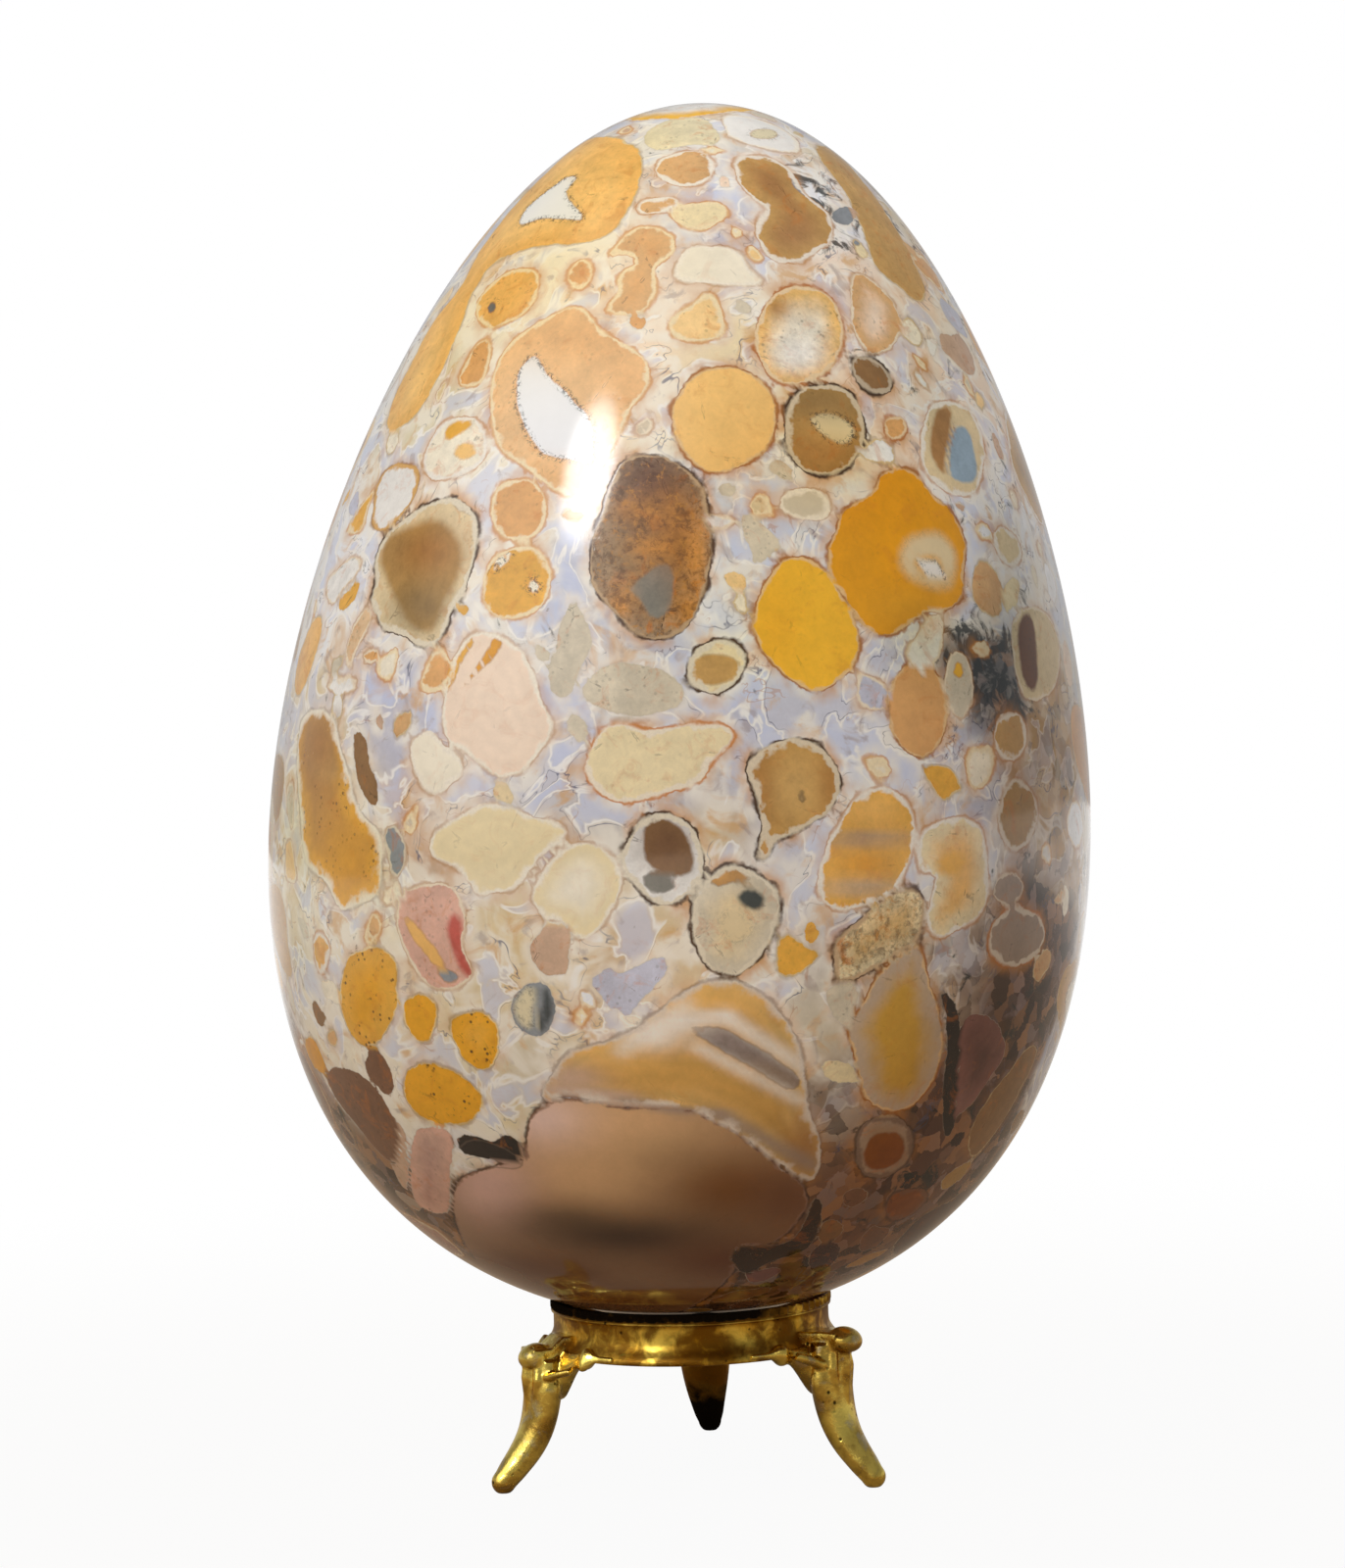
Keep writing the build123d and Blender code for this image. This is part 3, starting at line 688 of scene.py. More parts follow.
# Stones and ground over the rest of the egg, drawn from one seed
backSet = {"seed": 41, "tries": 2600, "sizes": (9.5, 1.5), "turnedAway": 0.1, "corners": 11, "room": 0.82,
           "stretch": (1.0, 1.7), "lobes": (2, 5), "wobble": (0.03, 0.16), "jitter": (0.88, 1.12), "lowLine": (38, 10),
           "newHeart": 0.25, "heartDepth": 0.32, "marked": 0.3, "markFrom": 3, "markSize": (0.35, 0.25),
           "markSoft": (0.15, 0.5),
           "edgings": ("white", "cream", "fine", "pinkRim", "rust", "white", "cream", "fine", "plain", "bands")}
crowdSet = {"tries": 900, "sizes": (2.6, 0.8), "room": 0.85, "corners": 8,  # small stones in the gaps of the face
            "stretch": (1.0, 2.0), "jitter": (0.62, 1.34), "lowLine": (40, 8), "lowSkip": 0.75, "heartDepth": 0.2,
            "edgings": ("none", "fine", "none", "cream", "none", "plain")}
groundSet = {"patches": 70, "lowLine": 40, "spread": (4, 8), "dark": (0, 0.6), "pixelsPerMm": 10.4, "least": 1e-6}
backTones = ["honey", "amber", "deepAmber", "yellow", "orangeTan", "tan", "warmTan", "oliveTan", "brown", "rustBrown",
             "darkBrown", "mottledBrown", "olive", "cream", "creamTan", "sand", "white", "pinkCream", "pink", "lilac",
             "beige", "paleHoney", "goldHoney", "orangeAmber"]
lowTones = ["taupe", "plum", "darkBrown", "rustBrown", "salmon", "mauve", "olive", "amber", "maroon", "lilac"]
backGrounds = ["lavender", "ice", "beige", "cream", "sand", "pinkCream", "paleBlue", "lavender", "creamTan"]
lowGrounds = ["plum", "maroon", "darkBrown", "taupe", "lilac"]
crowdTones = ["cream", "white", "beige", "pinkCream", "creamTan", "sand", "lavender", "paleHoney", "tan", "warmTan",
              "orangeAmber", "cream", "beige", "ice", "pink"]
markTones = ["ice", "white", "cream", "brown", "darkBrown", "grey", "blueWindow", "sand", "amber", "rust"]
layerSet = {"outside": -6.0, "margin": 6, "facing": 0.15, "upright": 0.9, "tiny": 1e-9,  # reach of a shape in mm
            "rimLight": (0.3, 1.6), "lineLight": (0.4, 0.6)}  # a dark stone has a dull rim and a darker line


def rounded(outline, passes=2):  # cuts the corners of a drawn outline
    for _ in range(passes):
        after = np.roll(outline, -1, 0)
        outline = np.stack([0.75 * outline + 0.25 * after, 0.25 * outline + 0.75 * after], 1).reshape(-1, 2)
    return outline


def insideBy(spots, outline):  # distance inside a closed outline, below 0 outside
    starts, ends = outline, np.roll(outline, -1, 0)
    sides = ends - starts
    gaps = spots[:, None, :] - starts[None]
    shares = np.clip((gaps * sides).sum(2) / np.maximum((sides**2).sum(1), layerSet["tiny"]), 0, 1)
    nearest = np.linalg.norm(gaps - shares[..., None] * sides, axis=2).min(1)
    crosses = (starts[None, :, 1] > spots[:, None, 1]) != (ends[None, :, 1] > spots[:, None, 1])
    rise = np.where(sides[:, 1] == 0, layerSet["tiny"], sides[:, 1])
    meets = starts[:, 0] + (spots[:, 1:] - starts[:, 1]) / rise * sides[:, 0]
    inside = ((crosses & (spots[:, :1] < meets)).sum(1) % 2) == 1
    return np.where(inside, nearest, -nearest)


class Layer:  # one coat of shapes over the egg: how far inside the nearest shape, and what that shape carries
    def __init__(self, points, normals, names):
        self.points, self.normals = points, normals
        self.edge = np.full(len(points), layerSet["outside"])
        self.owner = np.zeros(len(points), int)
        self.count = 0
        self.values = {name: np.zeros((len(points), 4)) for name in names}

    def lay(self, centre, facing, outline, values):  # outline is flat, or a function that flattens it
        aside = (0.0, 0.0, 1.0) if abs(facing[2]) < layerSet["upright"] else (0.0, 1.0, 0.0)
        side = np.cross(facing, aside)
        side /= np.linalg.norm(side)
        rise = np.cross(facing, side)
        flat = outline(side, rise) if callable(outline) else outline
        reach = np.linalg.norm(flat, axis=1).max() + layerSet["margin"]
        offsets = self.points - centre
        turned = self.normals @ facing > layerSet["facing"]
        near = np.where((np.linalg.norm(offsets, axis=1) < reach) & turned)[0]
        spots = np.stack([offsets[near] @ side, offsets[near] @ rise], 1)
        depth = insideBy(spots, flat)
        old = self.edge[near]
        beside = np.where(old > 0, np.minimum(old, -depth), np.maximum(old, depth))
        self.edge[near] = np.where(depth > 0, depth, beside)
        taken = (depth > 0) | ((depth > old) & (old <= 0))  # a later stone lies over an earlier one
        self.count += 1
        self.owner[near[taken]] = self.count
        for name, value in values.items():
            self.values[name][near[taken]] = value

    def layDrawn(self, drawing, values):
        pixels = [tuple(map(float, pair.split(","))) for pair in drawing.split()]
        spots = onEgg(pixels)
        centre = onEgg(np.mean(pixels, 0))[0]

        def flatten(side, rise):
            return rounded(np.stack([(spots - centre) @ side, (spots - centre) @ rise], 1))

        self.lay(centre, eggNormal(centre), flatten, values)


def stoneValues(tone, heart, edging, depth):
    rim, width, soft, line, bold, specks, bands, mottle = edges[edging]
    pale, core = tones[tone], tones[heart]
    least, more = layerSet["rimLight"]
    light = min(1.0, least + more * sum(pale) / 3)
    rim = [edge * light + inner * (1 - light) for edge, inner in zip(linear(rim), pale)]
    least, more = layerSet["lineLight"]
    line = [value * (least + more * light) for value in linear(line)]
    return {"stoneTone": pale + [specks], "stoneHeart": core + [depth], "stoneRim": rim + [width],
            "stoneLine": line + [bold], "stoneGrain": [bands, soft, mottle, 1]}


def pebbleOutline(radii, stretch, spin, passes=2):
    angles = np.linspace(0, 2 * pi, len(radii), endpoint=False)
    along, across = radii * np.cos(angles) * stretch**0.5, radii * np.sin(angles) / stretch**0.5
    turned = [along * cos(spin) - across * sin(spin), along * sin(spin) + across * cos(spin)]
    return rounded(np.stack(turned, 1), passes)


def pick(family, share):
    return family[int(share * len(family))]


def cloudFace(points, turned, owner):  # soft clouds inside the drawn stones, and painted shade, light and tint over all
    clouds, paintedShading = np.zeros((len(points), 4)), np.ones((len(points), 4))
    across, upward = np.array(viewRight), np.array(viewUp)
    pixel = cameraSet["distance"] / cameraSet["focal"]  # about, in mm
    for x, y, wide, tall, tone, share in faceClouds:
        offsets = points - onEgg((x, y))[0]
        reach = ((offsets @ across) / (wide * pixel)) ** 2 + ((offsets @ upward) / (tall * pixel)) ** 2
        same = owner == owner[(offsets**2).sum(1).argmin()]
        weight = (share * np.exp(-reach) * same * (turned > 0))[:, None]
        clouds = clouds * (1 - weight) + weight * np.array(tones[tone] + [1.0])
    for x, y, spread, gain in faceShadeLightAndTint:
        reach = ((points - onEgg((x, y))[0]) ** 2).sum(1) / (spread * pixel) ** 2
        paintedShading[:, :3] *= 1 + np.exp(-reach)[:, None] * (np.array(gain) - 1)
    return clouds, paintedShading


def scatterBack(stones, marks, away, dice):
    laid = 0
    angles = np.linspace(0, 2 * pi, backSet["corners"], endpoint=False)
    for size in np.geomspace(*backSet["sizes"], backSet["tries"]):
        spot = away[dice.integers(len(away))]
        stretch, spin = dice.uniform(*backSet["stretch"]), dice.uniform(0, pi)
        lobes, phase = dice.integers(*backSet["lobes"]), dice.uniform(0, 2 * pi)
        wobble = dice.uniform(*backSet["wobble"])
        jitter = dice.uniform(*backSet["jitter"], backSet["corners"])
        picks = dice.random(6)
        if stones.edge[spot] > -size * backSet["room"]:
            continue
        centre, facing = stones.points[spot], stones.normals[spot]
        radii = size * jitter * (1 + wobble * np.cos(lobes * angles + phase))
        lowLine, blur = backSet["lowLine"]
        family = lowTones if centre[2] < lowLine + blur * picks[5] else backTones
        tone = pick(family, picks[0])
        heart = pick(family, picks[1]) if picks[3] < backSet["newHeart"] else tone
        values = stoneValues(tone, heart, pick(backSet["edgings"], picks[2]), backSet["heartDepth"])
        stones.lay(centre, facing, pebbleOutline(radii, stretch, spin), values)
        laid += 1
        if picks[4] < backSet["marked"] and size > backSet["markFrom"]:
            least, more = backSet["markSize"]
            hard, softer = backSet["markSoft"]
            window = pebbleOutline(radii * (least + more * picks[5]), stretch, spin)
            values = {"markTone": tones[pick(markTones, picks[3])] + [hard + softer * picks[0]]}
            marks.lay(centre, facing, window, values)
    return laid


def crowdFace(stones, facing, dice):
    laid = 0
    for size in np.geomspace(*crowdSet["sizes"], crowdSet["tries"]):
        spot = facing[dice.integers(len(facing))]
        stretch, spin = dice.uniform(*crowdSet["stretch"]), dice.uniform(0, pi)
        jitter = dice.uniform(*crowdSet["jitter"], crowdSet["corners"])
        picks = dice.random(4)
        lowLine, blur = crowdSet["lowLine"]
        low = stones.points[spot][2] < lowLine + blur * picks[2]
        if stones.edge[spot] > -size * crowdSet["room"] or (low and picks[3] < crowdSet["lowSkip"]):
            continue
        edging = "none" if low else pick(crowdSet["edgings"], picks[1])
        tone = pick(lowTones if low else crowdTones, picks[0])
        outline = pebbleOutline(size * jitter, stretch, spin, 1)
        values = stoneValues(tone, tone, edging, crowdSet["heartDepth"])
        stones.lay(stones.points[spot], stones.normals[spot], outline, values)
        laid += 1
    return laid


def groundTones(points, away, dice):
    ground, weights = np.zeros((len(points), 4)), np.full((len(points), 1), layerSet["tiny"])
    scale = groundSet["pixelsPerMm"]
    patches = [(onEgg((x, y))[0], spread / scale, tone, dark) for x, y, spread, tone, dark in faceGround]
    for _ in range(groundSet["patches"]):
        spot = points[away[dice.integers(len(away))]]
        family = lowGrounds if spot[2] < groundSet["lowLine"] else backGrounds
        spread, tone = dice.uniform(*groundSet["spread"]), family[dice.integers(len(family))]
        patches.append((spot, spread, tone, dice.uniform(*groundSet["dark"])))
    for centre, spread, tone, dark in patches:
        weight = np.exp(-(((points - centre) ** 2).sum(1) / spread**2))[:, None] + groundSet["least"]
        ground += weight * np.array(tones[tone] + [dark])
        weights += weight
    return ground / weights


def paintEgg(piece):
    mesh = piece.data
    points = np.empty(len(mesh.vertices) * 3)
    mesh.vertices.foreach_get("co", points)
    points = points.reshape(-1, 3) / mm
    normals = eggNormal(points)
    towardEye = np.array(eyePoint) - points
    towardEye /= np.linalg.norm(towardEye, axis=1, keepdims=True)
    turned = (normals * towardEye).sum(1)
    dice = np.random.default_rng(backSet["seed"])
    stones = Layer(points, normals, ("stoneTone", "stoneHeart", "stoneRim", "stoneLine", "stoneGrain"))
    marks = Layer(points, normals, ("markTone",))
    for tone, heart, edging, drawing in faceStones:
        stones.layDrawn(drawing, stoneValues(tone, heart, edging, backSet["heartDepth"]))
    for tone, softness, drawing in faceMarks:
        marks.layDrawn(drawing, {"markTone": tones[tone] + [softness]})
    print("stones drawn on the face:", len(faceStones), "with", len(faceMarks), "marks")
    clouds, paintedShading = cloudFace(points, turned, stones.owner)
    away, facing = (np.where(side)[0] for side in (turned < backSet["turnedAway"], turned >= backSet["turnedAway"]))
    laid = scatterBack(stones, marks, away, dice)
    laid += crowdFace(stones, facing, dice)
    print("stones scattered over the rest:", laid)
    painted = {**stones.values, **marks.values, "groundTone": groundTones(points, away, dice), "cloudTone": clouds,
               "shade": paintedShading}
    for name, values in painted.items():
        mesh.attributes.new(name, "FLOAT_COLOR", "POINT").data.foreach_set("color", values.astype(np.float32).ravel())
    for name, layer in (("stoneEdge", stones), ("markEdge", marks)):
        mesh.attributes.new(name, "FLOAT", "POINT").data.foreach_set("value", layer.edge.astype(np.float32))


# Polished stone
stoneSet = {
    "tones": {"dendrite": (40, 48, 52), "fringe": (250, 245, 236), "capillary": (176, 110, 52), "speck": (40, 30, 24),
              "stain": (206, 120, 40), "bruise": (158, 138, 138), "ochre": (216, 164, 88), "pocket": (206, 216, 248),
              "lining": (254, 253, 252), "seam": (86, 90, 122), "umber": (84, 54, 34), "gold": (198, 138, 62),
              "fragment": (176, 132, 96), "gravel": (44, 32, 30), "halo": (204, 138, 54)},
    "swings": {  # noise either side of 0: size in mm, detail, amount
        "wander": (2.6, 3, 1.0), "fineWander": (0.5, 3, 0.3), "heart": (3.0, 3, 2.2), "bands": (4.0, 2, 1.6),
        "cracks": (1.6, 3, 0.1)},
    "noises": {  # size in mm, detail, wander, roughness
        "broad": (4.5, 4, 0.6), "medium": (1.2, 5, 0.6, 0.62), "fine": (0.28, 3, 0.0, 0.6), "pocket": (6.0, 3, 1.2),
        "branches": (2.4, 6, 0.8, 0.62), "veins": (7.0, 4, 0.8), "stain": (2.4, 6, 1.2, 0.66),
        "sprigs": (0.6, 6, 1.5, 0.7), "speckled": (2.4, 2), "gritty": (1.0, 7, 0.4, 0.75),
        "golden": (0.8, 7, 0.4, 0.75), "mossy": (0.6, 6, 2.0, 0.7), "ragged": (1.6, 3), "milky": (5.0, 3, 0.8),
        "ochre": (4.0, 4, 0.8, 0.58), "bruise": (3.4, 4, 1.2, 0.55), "fringed": (3.0, 3), "haloed": (4.0, 3),
        "lineReach": (2.6, 4), "lineBreaks": (1.8, 3)},
    "steps": {  # soft steps over a noise, a distance in mm or a lightness: from, to, share at each
        "stain": (0.52, 0.68, 0.0, 0.34), "sprigs": (0.6, 0.68), "speckled": (0.47, 0.6),
        "gritty": (0.46, 0.62, 0.0, 0.6), "golden": (0.52, 0.66, 0.0, 0.7), "mossy": (0.5, 0.58, 0.0, 0.85),
        "ragged": (0.25, 0.75, 0.35, 1.7), "milky": (0.45, 0.62, 0.0, 0.7), "ochre": (0.52, 0.68, 0.0, 0.65),
        "bruise": (0.57, 0.7, 0.0, 0.5), "fringed": (0.35, 0.6, 0.1, 0.7), "haloed": (0.4, 0.6),
        "lineReach": (0.3, 0.7, 0.08, 0.42), "lineBreaks": (0.3, 0.54, 0.1, 1.0), "spots": (0.14, 0.3, 1.0, 0.0),
        "crackLine": (0.002, 0.01, 0.45, 0.0), "cracked": (0.5, 0.62), "darkMark": (0.3, 0.8, 1.2, 0.1),
        "mossEdge": (0.1, 0.6, 1.0, 0.0), "paleMark": (0.6, 0.8), "markLine": (0.03, 0.16, 0.35, 0.0),
        "hardMark": (0.22, 0.5, 1.0, 0.0), "rimShade": (0.2, 0.8, 0.9, 1.05), "pale": (0.12, 0.45),
        "pocket": (0.5, 0.6, 0.0, 0.6), "lining": (0.0, 0.035, 0.8, 0.0), "seam": (0.002, 0.009, 0.75, 0.0),
        "seamed": (0.46, 0.6), "fringe": (-1.4, -0.1), "fragment": (0.45, 1.0, 0.0, 0.75),
        "gravel": (0.6, 0.9, 0.0, 0.8), "rubbleBruise": (0.75, 0.95, 0.0, 0.6), "branches": (0.7, 0.82),
        "vein": (0.002, 0.008, 0.4, 0.0), "veined": (0.52, 0.64), "halo": (-1.4, 0.0, 0.0, 0.7),
        "inside": (-0.06, 0.08)},
    "mottle": 0.46, "mottleMiddle": 1.275, "broadShare": 1.1, "fineShare": 0.45, "groundMottle": 0.5,
    "markWander": 0.7, "heartFrom": 0.3, "heartScale": 10.0, "bandPitch": 4.2, "bandDepth": 0.14, "grain": 0.7,
    "speckShare": 0.85, "crackSize": 7.0, "rimEnd": 1.15, "rimShare": 0.95, "liningAt": 0.535, "seamAt": 0.49,
    "rubbleWarp": (1.5, 3), "rubbleShift": 1.6, "rubbleSize": 1.7, "dendriteReach": 0.3, "dendriteShare": 0.9,
    "lineHalf": 0.02, "roughness": (0.03, 0.1, 0.2), "bump": (0.12, 0.05), "lineDepth": 0.5}


def stoneMaterial():
    material, tree, shader, place = newMaterial("polishedPebbleStone")
    noise, step, patch, coat = brushes(tree, place, stoneSet)

    def swing(name):
        size, detail, amount = stoneSet["swings"][name]
        return times(tree, calc(tree, "SUBTRACT", noiseNode(tree, place, size, detail)["Fac"], 0.5), amount)

    def lightness(colour):
        node = tree.nodes.new("ShaderNodeRGBToBW")
        tree.links.new(colour, node.inputs[0])
        return node.outputs[0]

    def painted(name):  # colour and fourth channel
        outputs = carried(tree, name)
        return outputs["Color"], outputs["Alpha"]

    tone, speckShare = painted("stoneTone")
    heart, heartDepth = painted("stoneHeart")
    rim, rimWidth = painted("stoneRim")
    line, lineShare = painted("stoneLine")
    bandShare, rimSoft, mottle = split(tree, painted("stoneGrain")[0])
    markTone, markSoft = painted("markTone")
    groundTone, darkShare = painted("groundTone")
    cloudTone, cloudShare = painted("cloudTone")

    wander = plus(tree, swing("wander"), swing("fineWander"))
    edge = plus(tree, carried(tree, "stoneEdge")["Fac"], wander)
    mark = plus(tree, carried(tree, "markEdge")["Fac"], times(tree, wander, stoneSet["markWander"]))
    markOff = calc(tree, "ABSOLUTE", mark)
    broad, medium, fine = noise("broad"), noise("medium"), noise("fine")
    shade = plus(tree, times(tree, broad, stoneSet["broadShare"]), medium)
    shade = plus(tree, shade, times(tree, fine, stoneSet["fineShare"]))
    shade = times(tree, calc(tree, "SUBTRACT", shade, stoneSet["mottleMiddle"]), stoneSet["mottle"])  # either side of 0
    bodyShade = times(tree, shade, mottle)

    # Body of a stone: edge tone to heart tone, mottled, stained, grained
    deep = ease(tree, plus(tree, edge, swing("heart")), stoneSet["heartFrom"],
                times(tree, heartDepth, stoneSet["heartScale"]))
    body = vary(tree, tint(tree, deep, tone, heart), bodyShade)
    body = coat(body, times(tree, patch("stain"), mottle, clamp=True), "stain")
    bandWave = calc(tree, "SINE", times(tree, plus(tree, edge, swing("bands")), stoneSet["bandPitch"]))
    body = vary(tree, body, times(tree, times(tree, bandWave, bandShare), stoneSet["bandDepth"]))
    spots = step(cells(tree, place, stoneSet["grain"])["Distance"], "spots")
    specks = times(tree, calc(tree, "MAXIMUM", spots, patch("sprigs")), patch("speckled"))
    specks = times(tree, specks, speckShare)
    body = coat(body, times(tree, specks, stoneSet["speckShare"]), "speck")
    cracks = plus(tree, cells(tree, place, stoneSet["crackSize"], "DISTANCE_TO_EDGE")["Distance"], swing("cracks"))
    cracks = times(tree, step(calc(tree, "ABSOLUTE", cracks), "crackLine"), step(medium, "cracked"))
    cracks = times(tree, cracks, mottle, clamp=True)
    body = coat(body, cracks, "speck")

    # Windows and cores; pale windows stay clean
    softHalf = times(tree, markSoft, 0.5)
    marked = ease(tree, mark, times(tree, softHalf, -1.0), softHalf)
    markLight = lightness(markTone)
    body = tint(tree, marked, body, vary(tree, markTone, times(tree, shade, step(markLight, "darkMark"))))
    body = tint(tree, 1.0, dim(tree, body, rest(tree, cloudShare)), vary(tree, cloudTone, bodyShade), "ADD")
    grit = calc(tree, "SUBTRACT", mottle, 1.0, clamp=True)  # sandy dark and golden grains of the rich stones
    grit = times(tree, grit, rest(tree, marked))
    body = coat(body, times(tree, patch("gritty"), grit), "umber")
    body = coat(body, times(tree, patch("golden"), grit), "gold")
    moss = times(tree, step(markOff, "mossEdge"), step(markLight, "paleMark"))
    body = coat(body, times(tree, moss, patch("mossy")), "dendrite")
    body = tint(tree, times(tree, step(markOff, "markLine"), step(markSoft, "hardMark")), body, line)

    # Pale rim, ragged and soft towards the body
    ragged = times(tree, rimWidth, patch("ragged"))
    rimStart, rimEnd = times(tree, ragged, rest(tree, rimSoft)), times(tree, ragged, stoneSet["rimEnd"])
    rimmed = ease(tree, edge, rimStart, rimEnd, stoneSet["rimShare"], 0.0)
    body = tint(tree, rimmed, body, dim(tree, rim, step(fine, "rimShade")))

    # Ground: milky chalcedony with ochre stains, lavender pockets lined in white, and dark gravel low down
    pale = step(lightness(groundTone), "pale")
    dark = rest(tree, pale)
    ground = vary(tree, groundTone, times(tree, shade, stoneSet["groundMottle"]))
    ground = coat(ground, times(tree, patch("milky"), pale), "fringe")
    ground = coat(ground, times(tree, patch("ochre"), pale), "ochre")
    pocket = noise("pocket")
    ground = coat(ground, times(tree, step(pocket, "pocket"), pale), "pocket")
    ground = coat(ground, times(tree, step(offBy(tree, pocket, stoneSet["liningAt"]), "lining"), pale), "lining")
    seam = times(tree, step(offBy(tree, pocket, stoneSet["seamAt"]), "seam"), step(broad, "seamed"))
    ground = coat(ground, seam, "seam")
    ground = coat(ground, patch("bruise"), "bruise")
    fringe = times(tree, step(edge, "fringe"), patch("fringed"))
    ground = coat(ground, times(tree, fringe, pale), "fringe")
    shifted = tree.nodes.new("ShaderNodeVectorMath")
    shifted.operation = "MULTIPLY_ADD"
    tree.links.new(noiseNode(tree, place, *stoneSet["rubbleWarp"])["Color"], shifted.inputs[0])
    shifted.inputs[1].default_value = (stoneSet["rubbleShift"] * mm,) * 3
    tree.links.new(place, shifted.inputs[2])
    rubble = split(tree, cells(tree, shifted.outputs[0], stoneSet["rubbleSize"])["Color"])
    for value, name, toneName in zip(rubble, ("fragment", "gravel", "rubbleBruise"), ("fragment", "gravel", "bruise")):
        ground = coat(ground, times(tree, step(value, name), dark), toneName)
    branches = plus(tree, noise("branches"), times(tree, darkShare, stoneSet["dendriteReach"]))
    ground = coat(ground, times(tree, step(branches, "branches"), stoneSet["dendriteShare"]), "dendrite")
    veins = times(tree, step(offBy(tree, noise("veins"), 0.5), "vein"), step(broad, "veined"))
    ground = coat(ground, veins, "capillary")
    near = times(tree, step(edge, "halo"), patch("haloed"))
    ground = coat(ground, times(tree, near, lineShare), "halo")

    # Stones in their ground, outlined, then shaded
    colour = tint(tree, step(edge, "inside"), ground, body)
    lineOff = calc(tree, "ABSOLUTE", plus(tree, edge, stoneSet["lineHalf"]))
    outline = ease(tree, lineOff, stoneSet["lineHalf"], patch("lineReach"), 1.0, 0.0)
    outline = times(tree, times(tree, outline, lineShare), patch("lineBreaks"))
    colour = tint(tree, outline, colour, line)
    # colour times the painted shade, light and tint
    colour = tint(tree, 1.0, colour, painted("shade")[0], "MULTIPLY")
    tree.links.new(colour, shader.inputs["Base Color"])
    smooth, fineRough, speckRough = stoneSet["roughness"]
    rough = plus(tree, times(tree, fine, fineRough), times(tree, specks, speckRough))
    tree.links.new(plus(tree, rough, smooth), shader.inputs["Roughness"])
    pits = calc(tree, "MAXIMUM", times(tree, outline, stoneSet["lineDepth"]), calc(tree, "MAXIMUM", specks, cracks))
    addBump(tree, shader, rest(tree, pits), *stoneSet["bump"])
    return material


egg = newPiece("polishedEgg", makeEgg(), stoneMaterial(), "egg", "stone", "stone_egg")
paintEgg(egg)
print("egg made:", len(egg.data.polygons), "faces")


# Worn brass with painted shade, painted light and painted sheen, shared by the ring and the legs
brassSet = {
    "tones": {"bright": (250, 210, 88), "warm": (222, 158, 36), "pale": (252, 240, 138), "tarnishAndShade": (104, 62, 16),
              "patinaAndShade": (26, 20, 14), "verdigris": (122, 128, 58), "paintedSheen": (222, 220, 200)},
    "noises": {  # size in mm, detail, wander, roughness
        "broad": (4.5, 3, 0.6), "medium": (1.7, 5, 0.5, 0.58), "fine": (0.18, 3), "spotted": (1.9, 2),
        "green": (1.3, 5, 0.5), "paintedSheen": (1.7, 3, 0.6), "uneven": (0.9, 3, 0.4)},
    "steps": {  # from, to, share at each
        "warm": (0.35, 0.7), "tarnishAndShade": (0.5, 0.7, 0.0, 0.85), "spots": (0.1, 0.22, 0.9, 0.0), "spotted": (0.5, 0.6),
        "green": (0.66, 0.74), "paintedSheen": (0.56, 0.7, 0.0, 0.6), "shadeBlack": (0.55, 0.95)},
    "wornLitShare": 0.6, "blotch": (0.6, 0.4), "grimeAndShadeTarnish": 0.4, "spotSize": 1.1, "greenShare": 0.6, "grimeAndShadeDulls": 3.0,
    "shadeBlackSwing": 0.8, "roughness": (0.1, 0.1, 0.16, 0.35), "height": (0.6, 0.5, 0.15), "bumpDepth": 0.2}


